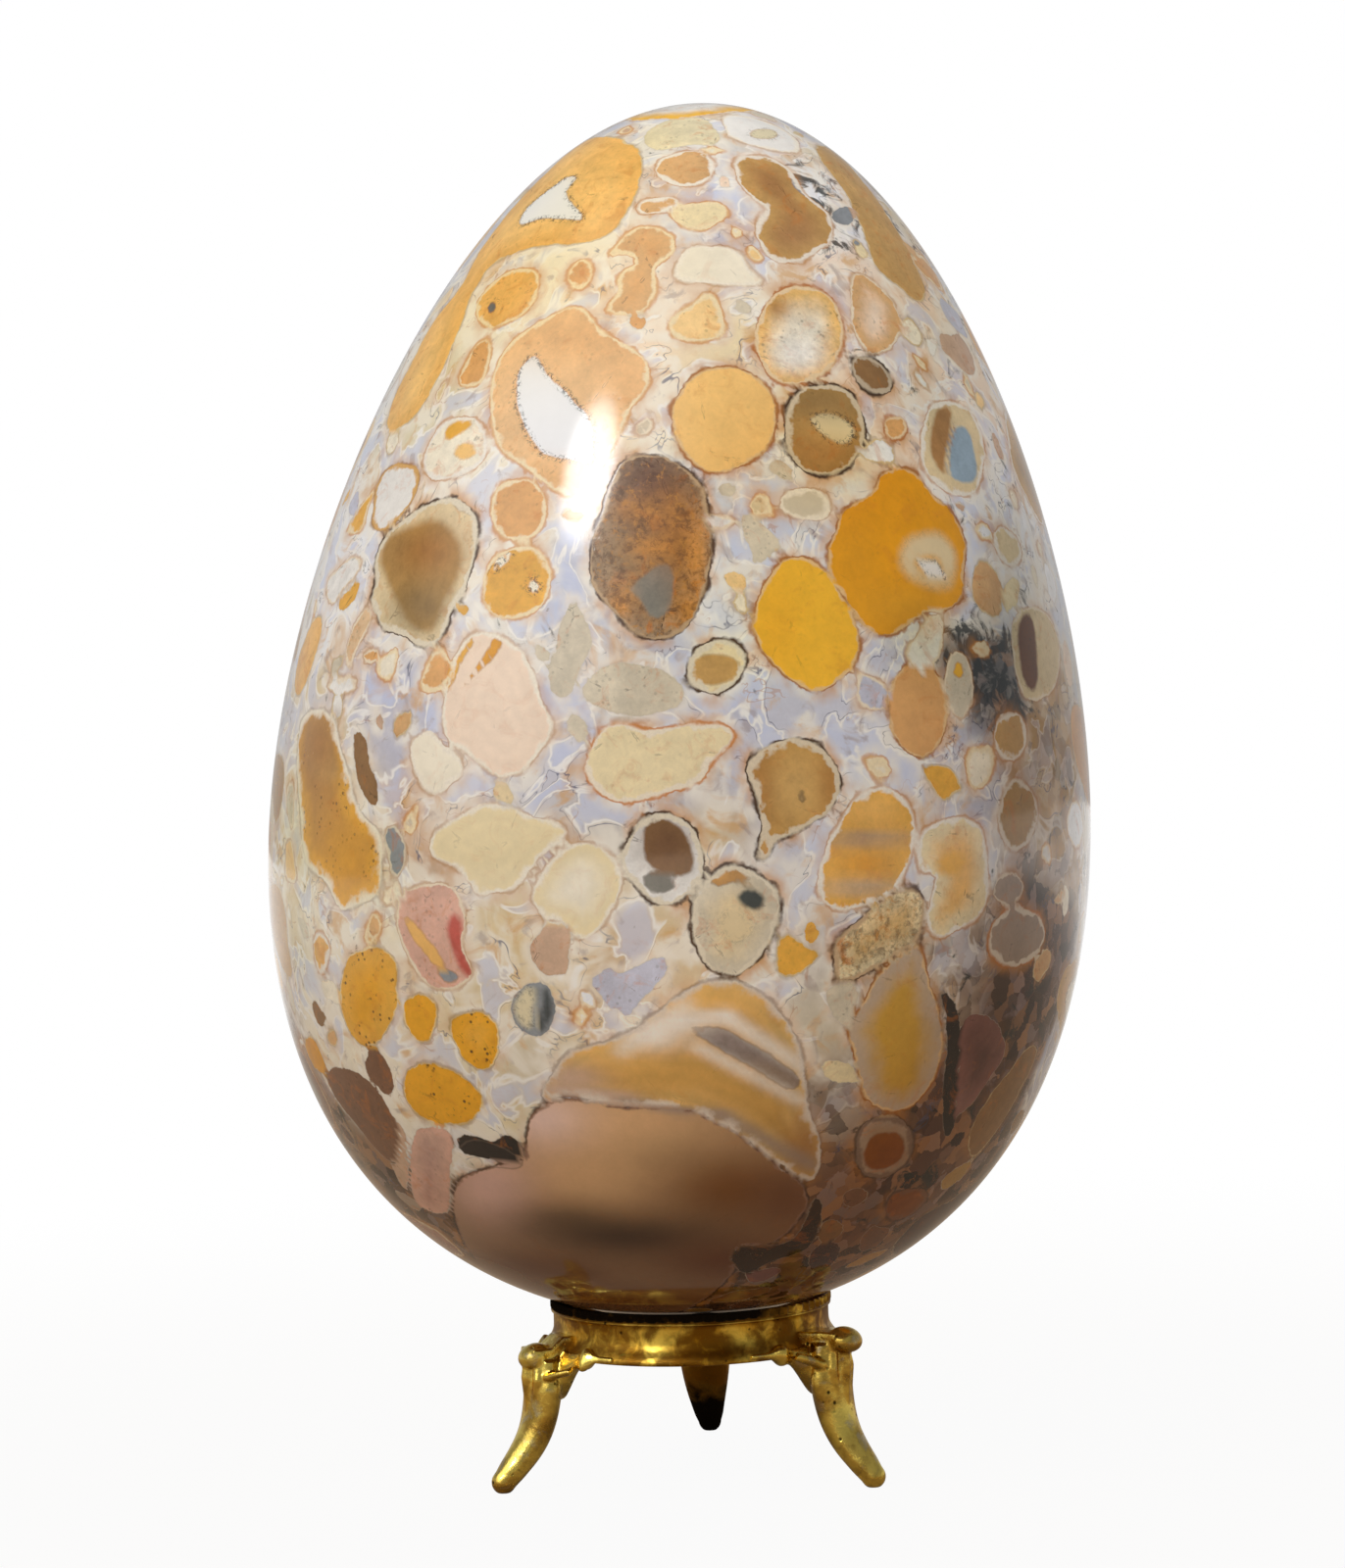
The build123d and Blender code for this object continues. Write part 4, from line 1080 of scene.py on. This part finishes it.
def brassTarnishShadeAndSheen():
    group = bpy.data.node_groups.new("wornBrassAndPaintedLight", "ShaderNodeTree")
    for name, kind in (("Place", "Vector"), ("Grime_and_shade", "Float"), ("Wear_and_light", "Float")):
        group.interface.new_socket(name, in_out="INPUT", socket_type="NodeSocket" + kind)
    for name, kind in (("Colour", "Color"), ("Roughness", "Float"), ("Height", "Float"), ("ShadeBlack", "Float")):
        group.interface.new_socket(name, in_out="OUTPUT", socket_type="NodeSocket" + kind)
    entry, leave = group.nodes.new("NodeGroupInput"), group.nodes.new("NodeGroupOutput")
    place, grime_and_shade, wear_and_light = entry.outputs["Place"], entry.outputs["Grime_and_shade"], entry.outputs["Wear_and_light"]
    noise, step, patch, coat = brushes(group, place, brassSet)
    broad, medium, fine = noise("broad"), noise("medium"), noise("fine")
    # wear, and painted light on faces turned up, laid on as pale brass
    wornAndLit = times(group, wear_and_light, brassSet["wornLitShare"])
    colour = coat(paint(brassSet["tones"]["bright"]), step(broad, "warm"), "warm")
    colour = coat(colour, wornAndLit, "pale")
    mediumShare, broadShare = brassSet["blotch"]
    blotch = plus(group, times(group, medium, mediumShare), times(group, broad, broadShare))
    # tarnish blotches, darker still where grime and painted shade are strong
    tarnishedAndShaded = step(plus(group, blotch, times(group, grime_and_shade, brassSet["grimeAndShadeTarnish"])), "tarnishAndShade")
    tarnishedAndShaded = times(group, tarnishedAndShaded, rest(group, wornAndLit))
    colour = coat(colour, tarnishedAndShaded, "tarnishAndShade")
    spots = step(cells(group, place, brassSet["spotSize"])["Distance"], "spots")
    spots = times(group, spots, patch("spotted"))
    colour = coat(colour, spots, "patinaAndShade")
    colour = coat(colour, times(group, patch("green"), brassSet["greenShare"]), "verdigris")
    # painted sheen: pale highlight patches, kept off dirty and shaded places
    cleanAndUnshaded = rest(group, times(group, grime_and_shade, brassSet["grimeAndShadeDulls"]), clamp=True)
    colour = coat(colour, times(group, patch("paintedSheen"), cleanAndUnshaded), "paintedSheen")
    # painted shade: near black where grime and painted shade are strong
    uneven = times(group, calc(group, "SUBTRACT", medium, 0.5), brassSet["shadeBlackSwing"])
    shadeBlack = step(plus(group, grime_and_shade, uneven), "shadeBlack")
    colour = coat(colour, shadeBlack, "patinaAndShade")
    smooth, fineRough, tarnishShadeRough, shadeBlackRough = brassSet["roughness"]
    rough = plus(group, times(group, fine, fineRough), smooth)
    rough = plus(group, rough, times(group, tarnishedAndShaded, tarnishShadeRough))
    rough = plus(group, rough, times(group, calc(group, "MAXIMUM", shadeBlack, spots), shadeBlackRough))
    waves, pits, grains = brassSet["height"]
    height = calc(group, "SUBTRACT", times(group, noise("uneven"), waves), times(group, spots, pits))
    height = plus(group, height, times(group, fine, grains))
    for value, name in ((colour, "Colour"), (rough, "Roughness"), (height, "Height"), (shadeBlack, "ShadeBlack")):
        group.links.new(value, leave.inputs[name])
    return group


wornBrassAndPaintedLight = brassTarnishShadeAndSheen()


def brassMaterial(name, bump, dull):
    material, tree, shader, place = newMaterial(name)
    wornAndLit = tree.nodes.new("ShaderNodeGroup")
    wornAndLit.node_tree = wornBrassAndPaintedLight
    tree.links.new(place, wornAndLit.inputs["Place"])
    for entry in ("grime_and_shade", "wear_and_light"):
        tree.links.new(carried(tree, entry)["Fac"], wornAndLit.inputs[entry.capitalize()])
    tree.links.new(wornAndLit.outputs["Colour"], shader.inputs["Base Color"])
    tree.links.new(plus(tree, wornAndLit.outputs["Roughness"], dull), shader.inputs["Roughness"])
    addBump(tree, shader, wornAndLit.outputs["Height"], bump, brassSet["bumpDepth"])
    tree.links.new(rest(tree, wornAndLit.outputs["ShadeBlack"]), shader.inputs["Metallic"])
    shader.inputs["Specular IOR Level"].default_value = 0.0  # the painted black shade hides the metal and has no shine of its own
    return material


def markWearShadeAndLight(piece, grimeShadeOf, wearLightOf):  # how dirty and worn each place of a brass piece is, with painted shade and painted light in these marks
    mesh = piece.data
    for name, rule in (("grime_and_shade", grimeShadeOf), ("wear_and_light", wearLightOf)):
        values = [rule(vertex.co / mm, vertex.normal) for vertex in mesh.vertices]
        mesh.attributes.new(name, "FLOAT", "POINT").data.foreach_set("value", values)


# Seat ring: waisted band with a soft flare at its foot and a milled rim
ringSet = {"waist": 13.55, "foot": 14.5, "rim": 13.85, "flutes": 78, "stepsPerFlute": 10, "fluteDepth": 0.26,
           "cutFrom": (13.6, 16.5), "cutFade": (0.2, 0.1), "cutShape": 0.8, "bump": 0.4, "dull": 0.16,
           "rimFrom": 16.46, "rimPaintedShade": (0.6, 1.6, 1.5), "lessShadeRight": (7, 4, 0.6), "inside": (13.0, 0.7),
           "bead": (16.15, 16.38), "beadWear": 0.3, "bandGrime": (0.34, 0.45),
           "section": (  # radius and height round the cut, from the foot outwards
               (14.3, 12.5), (14.42, 12.53), (14.48, 12.6), (14.5, 12.72), (14.47, 12.9), (14.38, 13.1),
               (14.24, 13.32), (14.06, 13.55), (13.9, 13.78), (13.76, 14.02), (13.65, 14.28), (13.58, 14.56),
               (13.55, 15.0), (13.55, 15.8), (13.57, 16.12), (13.64, 16.18), (13.72, 16.2), (13.78, 16.24),
               (13.8, 16.32), (13.78, 16.4), (13.7, 16.44), (13.72, 16.48), (13.8, 16.52), (13.85, 16.6),
               (13.85, 16.75), (13.85, 16.9), (13.85, 17.05), (13.84, 17.18), (13.78, 17.26), (13.68, 17.3),
               (13.4, 17.3), (13.05, 17.29), (12.72, 17.18), (12.7, 17.1), (12.7, 15.5), (12.7, 14.0), (12.7, 12.62),
               (12.74, 12.53), (12.83, 12.5), (13.6, 12.5))}


def makeRing():
    bm = spun(ringSet["section"], ringSet["flutes"] * ringSet["stepsPerFlute"], True)
    cutRadius, cutHeight = ringSet["cutFrom"]
    fadeOut, fadeUp = ringSet["cutFade"]
    for vertex in bm.verts:  # the mill's cuts
        radius = vertex.co.xy.length
        if radius > cutRadius and vertex.co.z > cutHeight:
            phase = Vector((1, 0)).angle_signed(vertex.co.xy, 0.0) * ringSet["flutes"]
            cut = ringSet["fluteDepth"] * (0.5 + 0.5 * cos(phase)) ** ringSet["cutShape"]
            fade = clip(min((radius - cutRadius) / fadeOut, (vertex.co.z - cutHeight) / fadeUp))
            vertex.co.xy *= 1 - cut * fade / radius
    return bm


# painted shade under the egg: the milled rim black, deeper in the flutes and higher up, less on the right; the bore
# darker with painted shade; the band and groove carry tarnish
def ringGrimeAndShade(spot, normal):
    radius = spot.xy.length
    if spot.z > ringSet["rimFrom"]:
        start, span, share = ringSet["lessShadeRight"]
        lessShadeRight = 1 - share * clip((spot.x - start) / span)  # painted shade less on the right
        least, inward, upward = ringSet["rimPaintedShade"]
        climb = max(0.0, spot.z - ringSet["cutFrom"][1])
        return min(1.0, least + (ringSet["rim"] - radius) * inward + climb * upward) * lessShadeRight
    innerRadius, innerShade = ringSet["inside"]
    if radius < innerRadius:
        return innerShade
    band, groove = ringSet["bandGrime"]
    return groove if spot.z > ringSet["bead"][1] else band


def ringWear(spot, normal):
    low, high = ringSet["bead"]
    return ringSet["beadWear"] if low < spot.z < high else 0.0


ringBrass = brassMaterial("ringBrass", ringSet["bump"], ringSet["dull"])
ring = newPiece("milledRing", makeRing(), ringBrass, "stand", "ring_brass", "seat_ring")
markWearShadeAndLight(ring, ringGrimeAndShade, ringWear)
print("ring made:", len(ring.data.polygons), "faces")


# Cast legs: shank, toe, drooping lip, ribs and wings run together into one casting
legSet = {"azimuths": {"leg_front_left": -150, "leg_front_right": -30, "leg_rear": 90}, "voxel": 0.12, "smooth": 7,
          "lipShift": {  # lip outwards and head upwards
              "leg_front_left": (-0.35, -1.0), "leg_front_right": (0.6, 0.1), "leg_rear": (0.0, 0.0)},
          "toe": (20.55, 1.0, 1.2), "lip": (17.3, 13.85), "lipSize": (1.6, 1.8, 1.15), "lipDroop": 22.0,
          "neck": (0.8, 3.3, 1.6), "head": (16.0, 13.5), "headPull": (16.0, 5.2), "toePull": (17.5, 4.5),
          "sections": (  # share of the way down the shank, width, depth
              (0.0, 4.4, 2.8), (0.16, 5.6, 3.3), (0.4, 4.8, 3.1), (0.7, 3.7, 2.9), (0.9, 3.0, 2.6), (1.0, 2.35, 2.3)),
          "shankRows": 28, "sweep": 33.0, "wingTop": 13.3, "wingHeight": 5.0, "wingDepth": 3.0, "wingTip": 0.6,
          "hollow": 2.6, "beadAngle": 20.5, "beadSpread": 3.0, "beadSwell": 1.35, "wingRows": 52,
          "midRib": ((17.6, 0.0, 13.4, 0.55), (17.75, 0.0, 11.4, 0.6), (17.65, 0.0, 9.4, 0.5), (17.75, 0.0, 7.2, 0.3)),
          "sideRibs": (  # reach, side, height and thickness along each raised vein; one on either side
              ((17.0, 1.1, 13.2, 0.5), (17.25, 1.5, 11.2, 0.5), (17.3, 1.2, 9.2, 0.42), (17.4, 0.6, 7.4, 0.25)),
              ((16.6, 2.0, 11.6, 0.5), (15.9, 3.4, 12.2, 0.5), (15.1, 4.6, 12.7, 0.45))),
          "segments": {"shank": 32, "toe": (32, 20), "lip": (40, 24), "wings": 24, "rib": 16}, "smoothShare": 0.5,
          "bite": 0.35, "footTop": 13.2, "liftUp": (9, 4), "liftOut": (14.6, 1.2), "bump": 0.55, "dull": 0.04,
          "grime_and_shade": (0.16, 0.3), "rearShadeHeight": 9, "wear_and_light": (0.45, 0.4)}


def bezier(share):  # point and direction of the shank's line
    corners = (legSet["head"], legSet["headPull"], legSet["toePull"], legSet["toe"][:2])
    a, b, c, d = (Vector((x, 0, z)) for x, z in corners)
    back = 1 - share
    spot = a * back**3 + b * 3 * back**2 * share + c * 3 * back * share**2 + d * share**3
    way = (b - a) * back**2 + (c - b) * 2 * back * share + (d - c) * share**2
    return spot, way.normalized()


def loft(bm, frames, segments):  # rings of points at the given frames, bridged into a skin with closed ends
    loops = []
    for place in frames:
        ends = place in (frames[0], frames[-1])
        made = bmesh.ops.create_circle(bm, cap_ends=ends, segments=segments, radius=1.0, matrix=place)
        loops.append(list({edge for vertex in made["verts"] for edge in vertex.link_edges}))
    for first, second in zip(loops, loops[1:]):
        bmesh.ops.bridge_loops(bm, edges=first + second)


def squareTo(spot, way, side, width, depth):  # frame of an ellipse across the way
    side = (side - way * side.dot(way)).normalized()
    turn = Matrix((side * width / 2, way.cross(side) * depth / 2, way)).transposed().to_4x4()
    return Matrix.Translation(spot) @ turn


def shankFrames():
    shares, widths, depths = zip(*legSet["sections"])
    for share in (row / legSet["shankRows"] for row in range(legSet["shankRows"] + 1)):
        width, depth = np.interp(share, shares, widths), np.interp(share, shares, depths)
        yield squareTo(*bezier(share), Vector((0, 1, 0)), width, depth)


def wingFrames():
    tip = legSet["wingTip"]
    for row in range(legSet["wingRows"] + 1):
        angle = legSet["sweep"] * (2 * row / legSet["wingRows"] - 1)
        fall = ((1 + cos(pi * angle / legSet["sweep"])) / 2) ** legSet["hollow"]
        height = tip + (legSet["wingHeight"] - tip) * fall
        depth = tip + (legSet["wingDepth"] - tip) * fall
        bead = legSet["beadSwell"] * exp(-(((abs(angle) - legSet["beadAngle"]) / legSet["beadSpread"]) ** 2))
        turn = radians(angle)
        spot = Vector((ringSet["foot"] * cos(turn), ringSet["foot"] * sin(turn), legSet["wingTop"] - height / 2))
        yield squareTo(spot, Vector((-sin(turn), cos(turn), 0)), Vector((0, 0, 1)), height + bead, depth + bead)


def ribFrames(rib, side):
    spots = [Vector((reach, side * across, height)) for reach, across, height, _ in rib]
    for spot, before, after, point in zip(spots, spots[:1] + spots[:-1], spots[1:] + spots[-1:], rib):
        yield squareTo(spot, (after - before).normalized(), Vector((1, 0, 0.1)), 2 * point[3], 2 * point[3])


def addBall(bm, name, radius, place):
    around, upward = legSet["segments"][name]
    bmesh.ops.create_uvsphere(bm, u_segments=around, v_segments=upward, radius=radius, matrix=place)


def legShapes(bm, lipShift):
    segments = legSet["segments"]
    loft(bm, list(shankFrames()), segments["shank"])
    toeReach, toeHeight, toeRadius = legSet["toe"]
    addBall(bm, "toe", toeRadius, Matrix.Translation((toeReach, 0, toeHeight)))
    lipReach, lipHeight = legSet["lip"]
    tilt = Matrix.Rotation(radians(legSet["lipDroop"]), 4, "Y") @ Matrix.Diagonal((*legSet["lipSize"], 1))
    addBall(bm, "lip", 1.0, Matrix.Translation((lipReach + lipShift, 0, lipHeight)) @ tilt)
    extra, width, height = legSet["neck"]
    neckSize = Matrix.Diagonal((lipReach - ringSet["waist"] + extra, width, height, 1))
    neck = Matrix.Translation(((ringSet["waist"] + lipReach) / 2, 0, lipHeight)) @ neckSize
    bmesh.ops.create_cube(bm, size=1.0, matrix=neck)
    loft(bm, list(wingFrames()), segments["wings"])
    loft(bm, list(ribFrames(legSet["midRib"], 1)), segments["rib"])
    for rib in legSet["sideRibs"]:
        for side in (1, -1):
            loft(bm, list(ribFrames(rib, side)), segments["rib"])


def makeLeg(node, azimuth):
    bm = bmesh.new()
    lipShift, headLift = legSet["lipShift"][node]
    legShapes(bm, lipShift)
    bmesh.ops.recalc_face_normals(bm, faces=bm.faces[:])
    shape = newObject("legDraft", bm)
    remesh = shape.modifiers.new("cast", "REMESH")
    remesh.mode = "VOXEL"
    remesh.voxel_size = legSet["voxel"]
    cast = bpy.data.meshes.new_from_object(shape.evaluated_get(bpy.context.evaluated_depsgraph_get()))
    bm = bmesh.new()
    bm.from_mesh(cast)
    bpy.data.objects.remove(shape)
    for _ in range(legSet["smooth"]):
        bmesh.ops.smooth_vert(bm, verts=bm.verts[:], factor=legSet["smoothShare"], use_axis_x=True, use_axis_y=True,
                              use_axis_z=True)
    liftHeight, liftSpan = legSet["liftUp"]
    liftReach, outSpan = legSet["liftOut"]
    for vertex in bm.verts:  # stays in the ring's wall, and stands flat on the table
        reach = vertex.co.xy.length
        hold = (ringSet["foot"] if vertex.co.z < legSet["footTop"] else ringSet["waist"]) - legSet["bite"]
        if reach < hold:
            vertex.co.xy *= hold / reach
        vertex.co.z += headLift * clip((vertex.co.z - liftHeight) / liftSpan) * clip((reach - liftReach) / outSpan)
        vertex.co.z = max(vertex.co.z, 0.0)
    bmesh.ops.rotate(bm, cent=(0, 0, 0), matrix=Matrix.Rotation(radians(azimuth), 3, "Z"), verts=bm.verts[:])
    return bm


# dirt everywhere and painted shade on faces turned down; on the rear leg painted shade black towards the toe
def legGrimeAndShade(spot, normal):
    least, under = legSet["grime_and_shade"]
    return least + under * max(0.0, -normal.z) + rearShade * max(0.0, 1 - spot.z / legSet["rearShadeHeight"])


# wear everywhere and painted light on faces turned up; none on the shaded rear leg
def legWearAndLight(spot, normal):
    least, above = legSet["wear_and_light"]
    return (least + above * max(0.0, normal.z)) * (1 - rearShade)


legBrass = brassMaterial("legBrass", legSet["bump"], legSet["dull"])
for node, azimuthDegrees in legSet["azimuths"].items():
    leg = newPiece(node.replace("leg", "castLeg"), makeLeg(node, azimuthDegrees), legBrass, "stand", "leg_brass", node)
    rearShade = 1.0 if node == "leg_rear" else 0.0  # painted shade: the rear leg black towards the toe
    markWearShadeAndLight(leg, legGrimeAndShade, legWearAndLight)
    print("leg made:", leg.name, len(leg.data.polygons), "faces")


# Floor, background and soft studio light
stageSet = {"floor": 3.0, "floorTone": (150, 130, 104), "floorRoughness": 0.9, "cells": 8,
            "shadow": (0.05, 0.26, 0.95, 1.0), "mirror": (0.05, 0.7, 0.06, 1.0),  # from, to in m, white at each
            "worldLight": 0.23, "wall": (-0.3, 0.5, 0.32, 0.5), "ceiling": (0.1, 0.5, 0.26),
            "lobes": (  # bright places of the mirrored room: direction, from, to, strength
                ((-0.52, -0.5, 0.69), 0.72, 0.98, 1.5),
                (Vector((-0.396, -0.627, 0.67)).normalized(), 0.988, 0.9985, 20.0)),
            "lights": {  # place in m, aim height, size in m, watts, tone
                "windowLeft": ((-1.0, -1.0, 1.0), 0.07, (1.5, 1.5), 15.0, (1.0, 0.965, 0.9)),
                "skyAbove": ((0.0, -0.1, 1.4), 0.07, (1.8, 1.8), 11.5, (1.0, 0.97, 0.92)),
                "fillRight": ((1.1, -1.0, 0.5), 0.07, (1.0, 1.0), 4.2, (1.0, 0.96, 0.88)),
                "fillBack": ((0.0, 1.4, 0.9), 0.07, (0.8, 0.8), 8.0, (1.0, 0.97, 0.92))}}


def blend(tree, share, first, second):
    return plus(tree, times(tree, first, rest(tree, share)), times(tree, share, second))


def measure(tree, operation, *vectors):
    node = tree.nodes.new("ShaderNodeVectorMath")
    node.operation = operation
    for vector, socket in zip(vectors, node.inputs):
        plug(tree, vector, socket)
    return node.outputs["Value"]


def seenRays(tree):  # straight rays, and those that show the white background: straight, mirrored or through glass
    rays = tree.nodes.new("ShaderNodeLightPath").outputs
    straight = rays["Is Camera Ray"]
    mirrored = calc(tree, "MAXIMUM", rays["Is Glossy Ray"], rays["Is Transmission Ray"])
    return straight, calc(tree, "MAXIMUM", straight, mirrored)


def makeFloor():
    bm = bmesh.new()
    bmesh.ops.create_grid(bm, x_segments=stageSet["cells"], y_segments=stageSet["cells"], size=stageSet["floor"])
    floor = newObject("floor", bm)
    material, tree, shader, place = newMaterial("paleFloor")
    shader.inputs["Base Color"].default_value = paint(stageSet["floorTone"])
    shader.inputs["Roughness"].default_value = stageSet["floorRoughness"]
    glow = tree.nodes.new("ShaderNodeEmission")
    mix = tree.nodes.new("ShaderNodeMixShader")
    away = measure(tree, "LENGTH", place)
    straight, seen = seenRays(tree)
    white = blend(tree, straight, ease(tree, away, *stageSet["mirror"]), ease(tree, away, *stageSet["shadow"]))
    tree.links.new(times(tree, white, seen), mix.inputs["Fac"])
    tree.links.new(shader.outputs[0], mix.inputs[1])
    tree.links.new(glow.outputs[0], mix.inputs[2])
    tree.links.new(mix.outputs[0], tree.nodes["Material Output"].inputs["Surface"])
    floor.data.materials.append(material)


def makeWorld():
    world = bpy.data.worlds.new("studio")
    scene.world = world
    world.use_nodes = True
    tree = world.node_tree
    backdrop = tree.nodes["Background"]
    backdrop.inputs["Color"].default_value = (1, 1, 1, 1)
    direction = tree.nodes.new("ShaderNodeTexCoord").outputs["Generated"]
    parts = tree.nodes.new("ShaderNodeSeparateXYZ")
    tree.links.new(direction, parts.inputs[0])
    wall = ease(tree, parts.outputs["Y"], *stageSet["wall"])
    low, high, ceiling = stageSet["ceiling"]
    room = ease(tree, parts.outputs["Z"], low, high, wall, ceiling)  # pale wall under a dim ceiling
    for aim, low, high, light in stageSet["lobes"]:
        room = plus(tree, room, ease(tree, measure(tree, "DOT_PRODUCT", direction, aim), low, high, 0.0, light))
    straight, seen = seenRays(tree)
    strength = calc(tree, "MAXIMUM", times(tree, seen, room), stageSet["worldLight"])
    tree.links.new(blend(tree, straight, strength, 1.0), backdrop.inputs["Strength"])


makeFloor()
makeWorld()
for name, (spot, aim, size, watts, tone) in stageSet["lights"].items():
    lightData = bpy.data.lights.new(name, "AREA")
    lightData.shape = "RECTANGLE"
    lightData.size, lightData.size_y = size
    lightData.energy = watts
    lightData.color = tone
    light = bpy.data.objects.new(name, lightData)
    scene.collection.objects.link(light)
    light.visible_glossy = False  # the world gives the soft reflections
    light.location = spot
    light.rotation_euler = (Vector((0, 0, aim)) - Vector(spot)).to_track_quat("-Z", "Y").to_euler()
print("stage and light set")
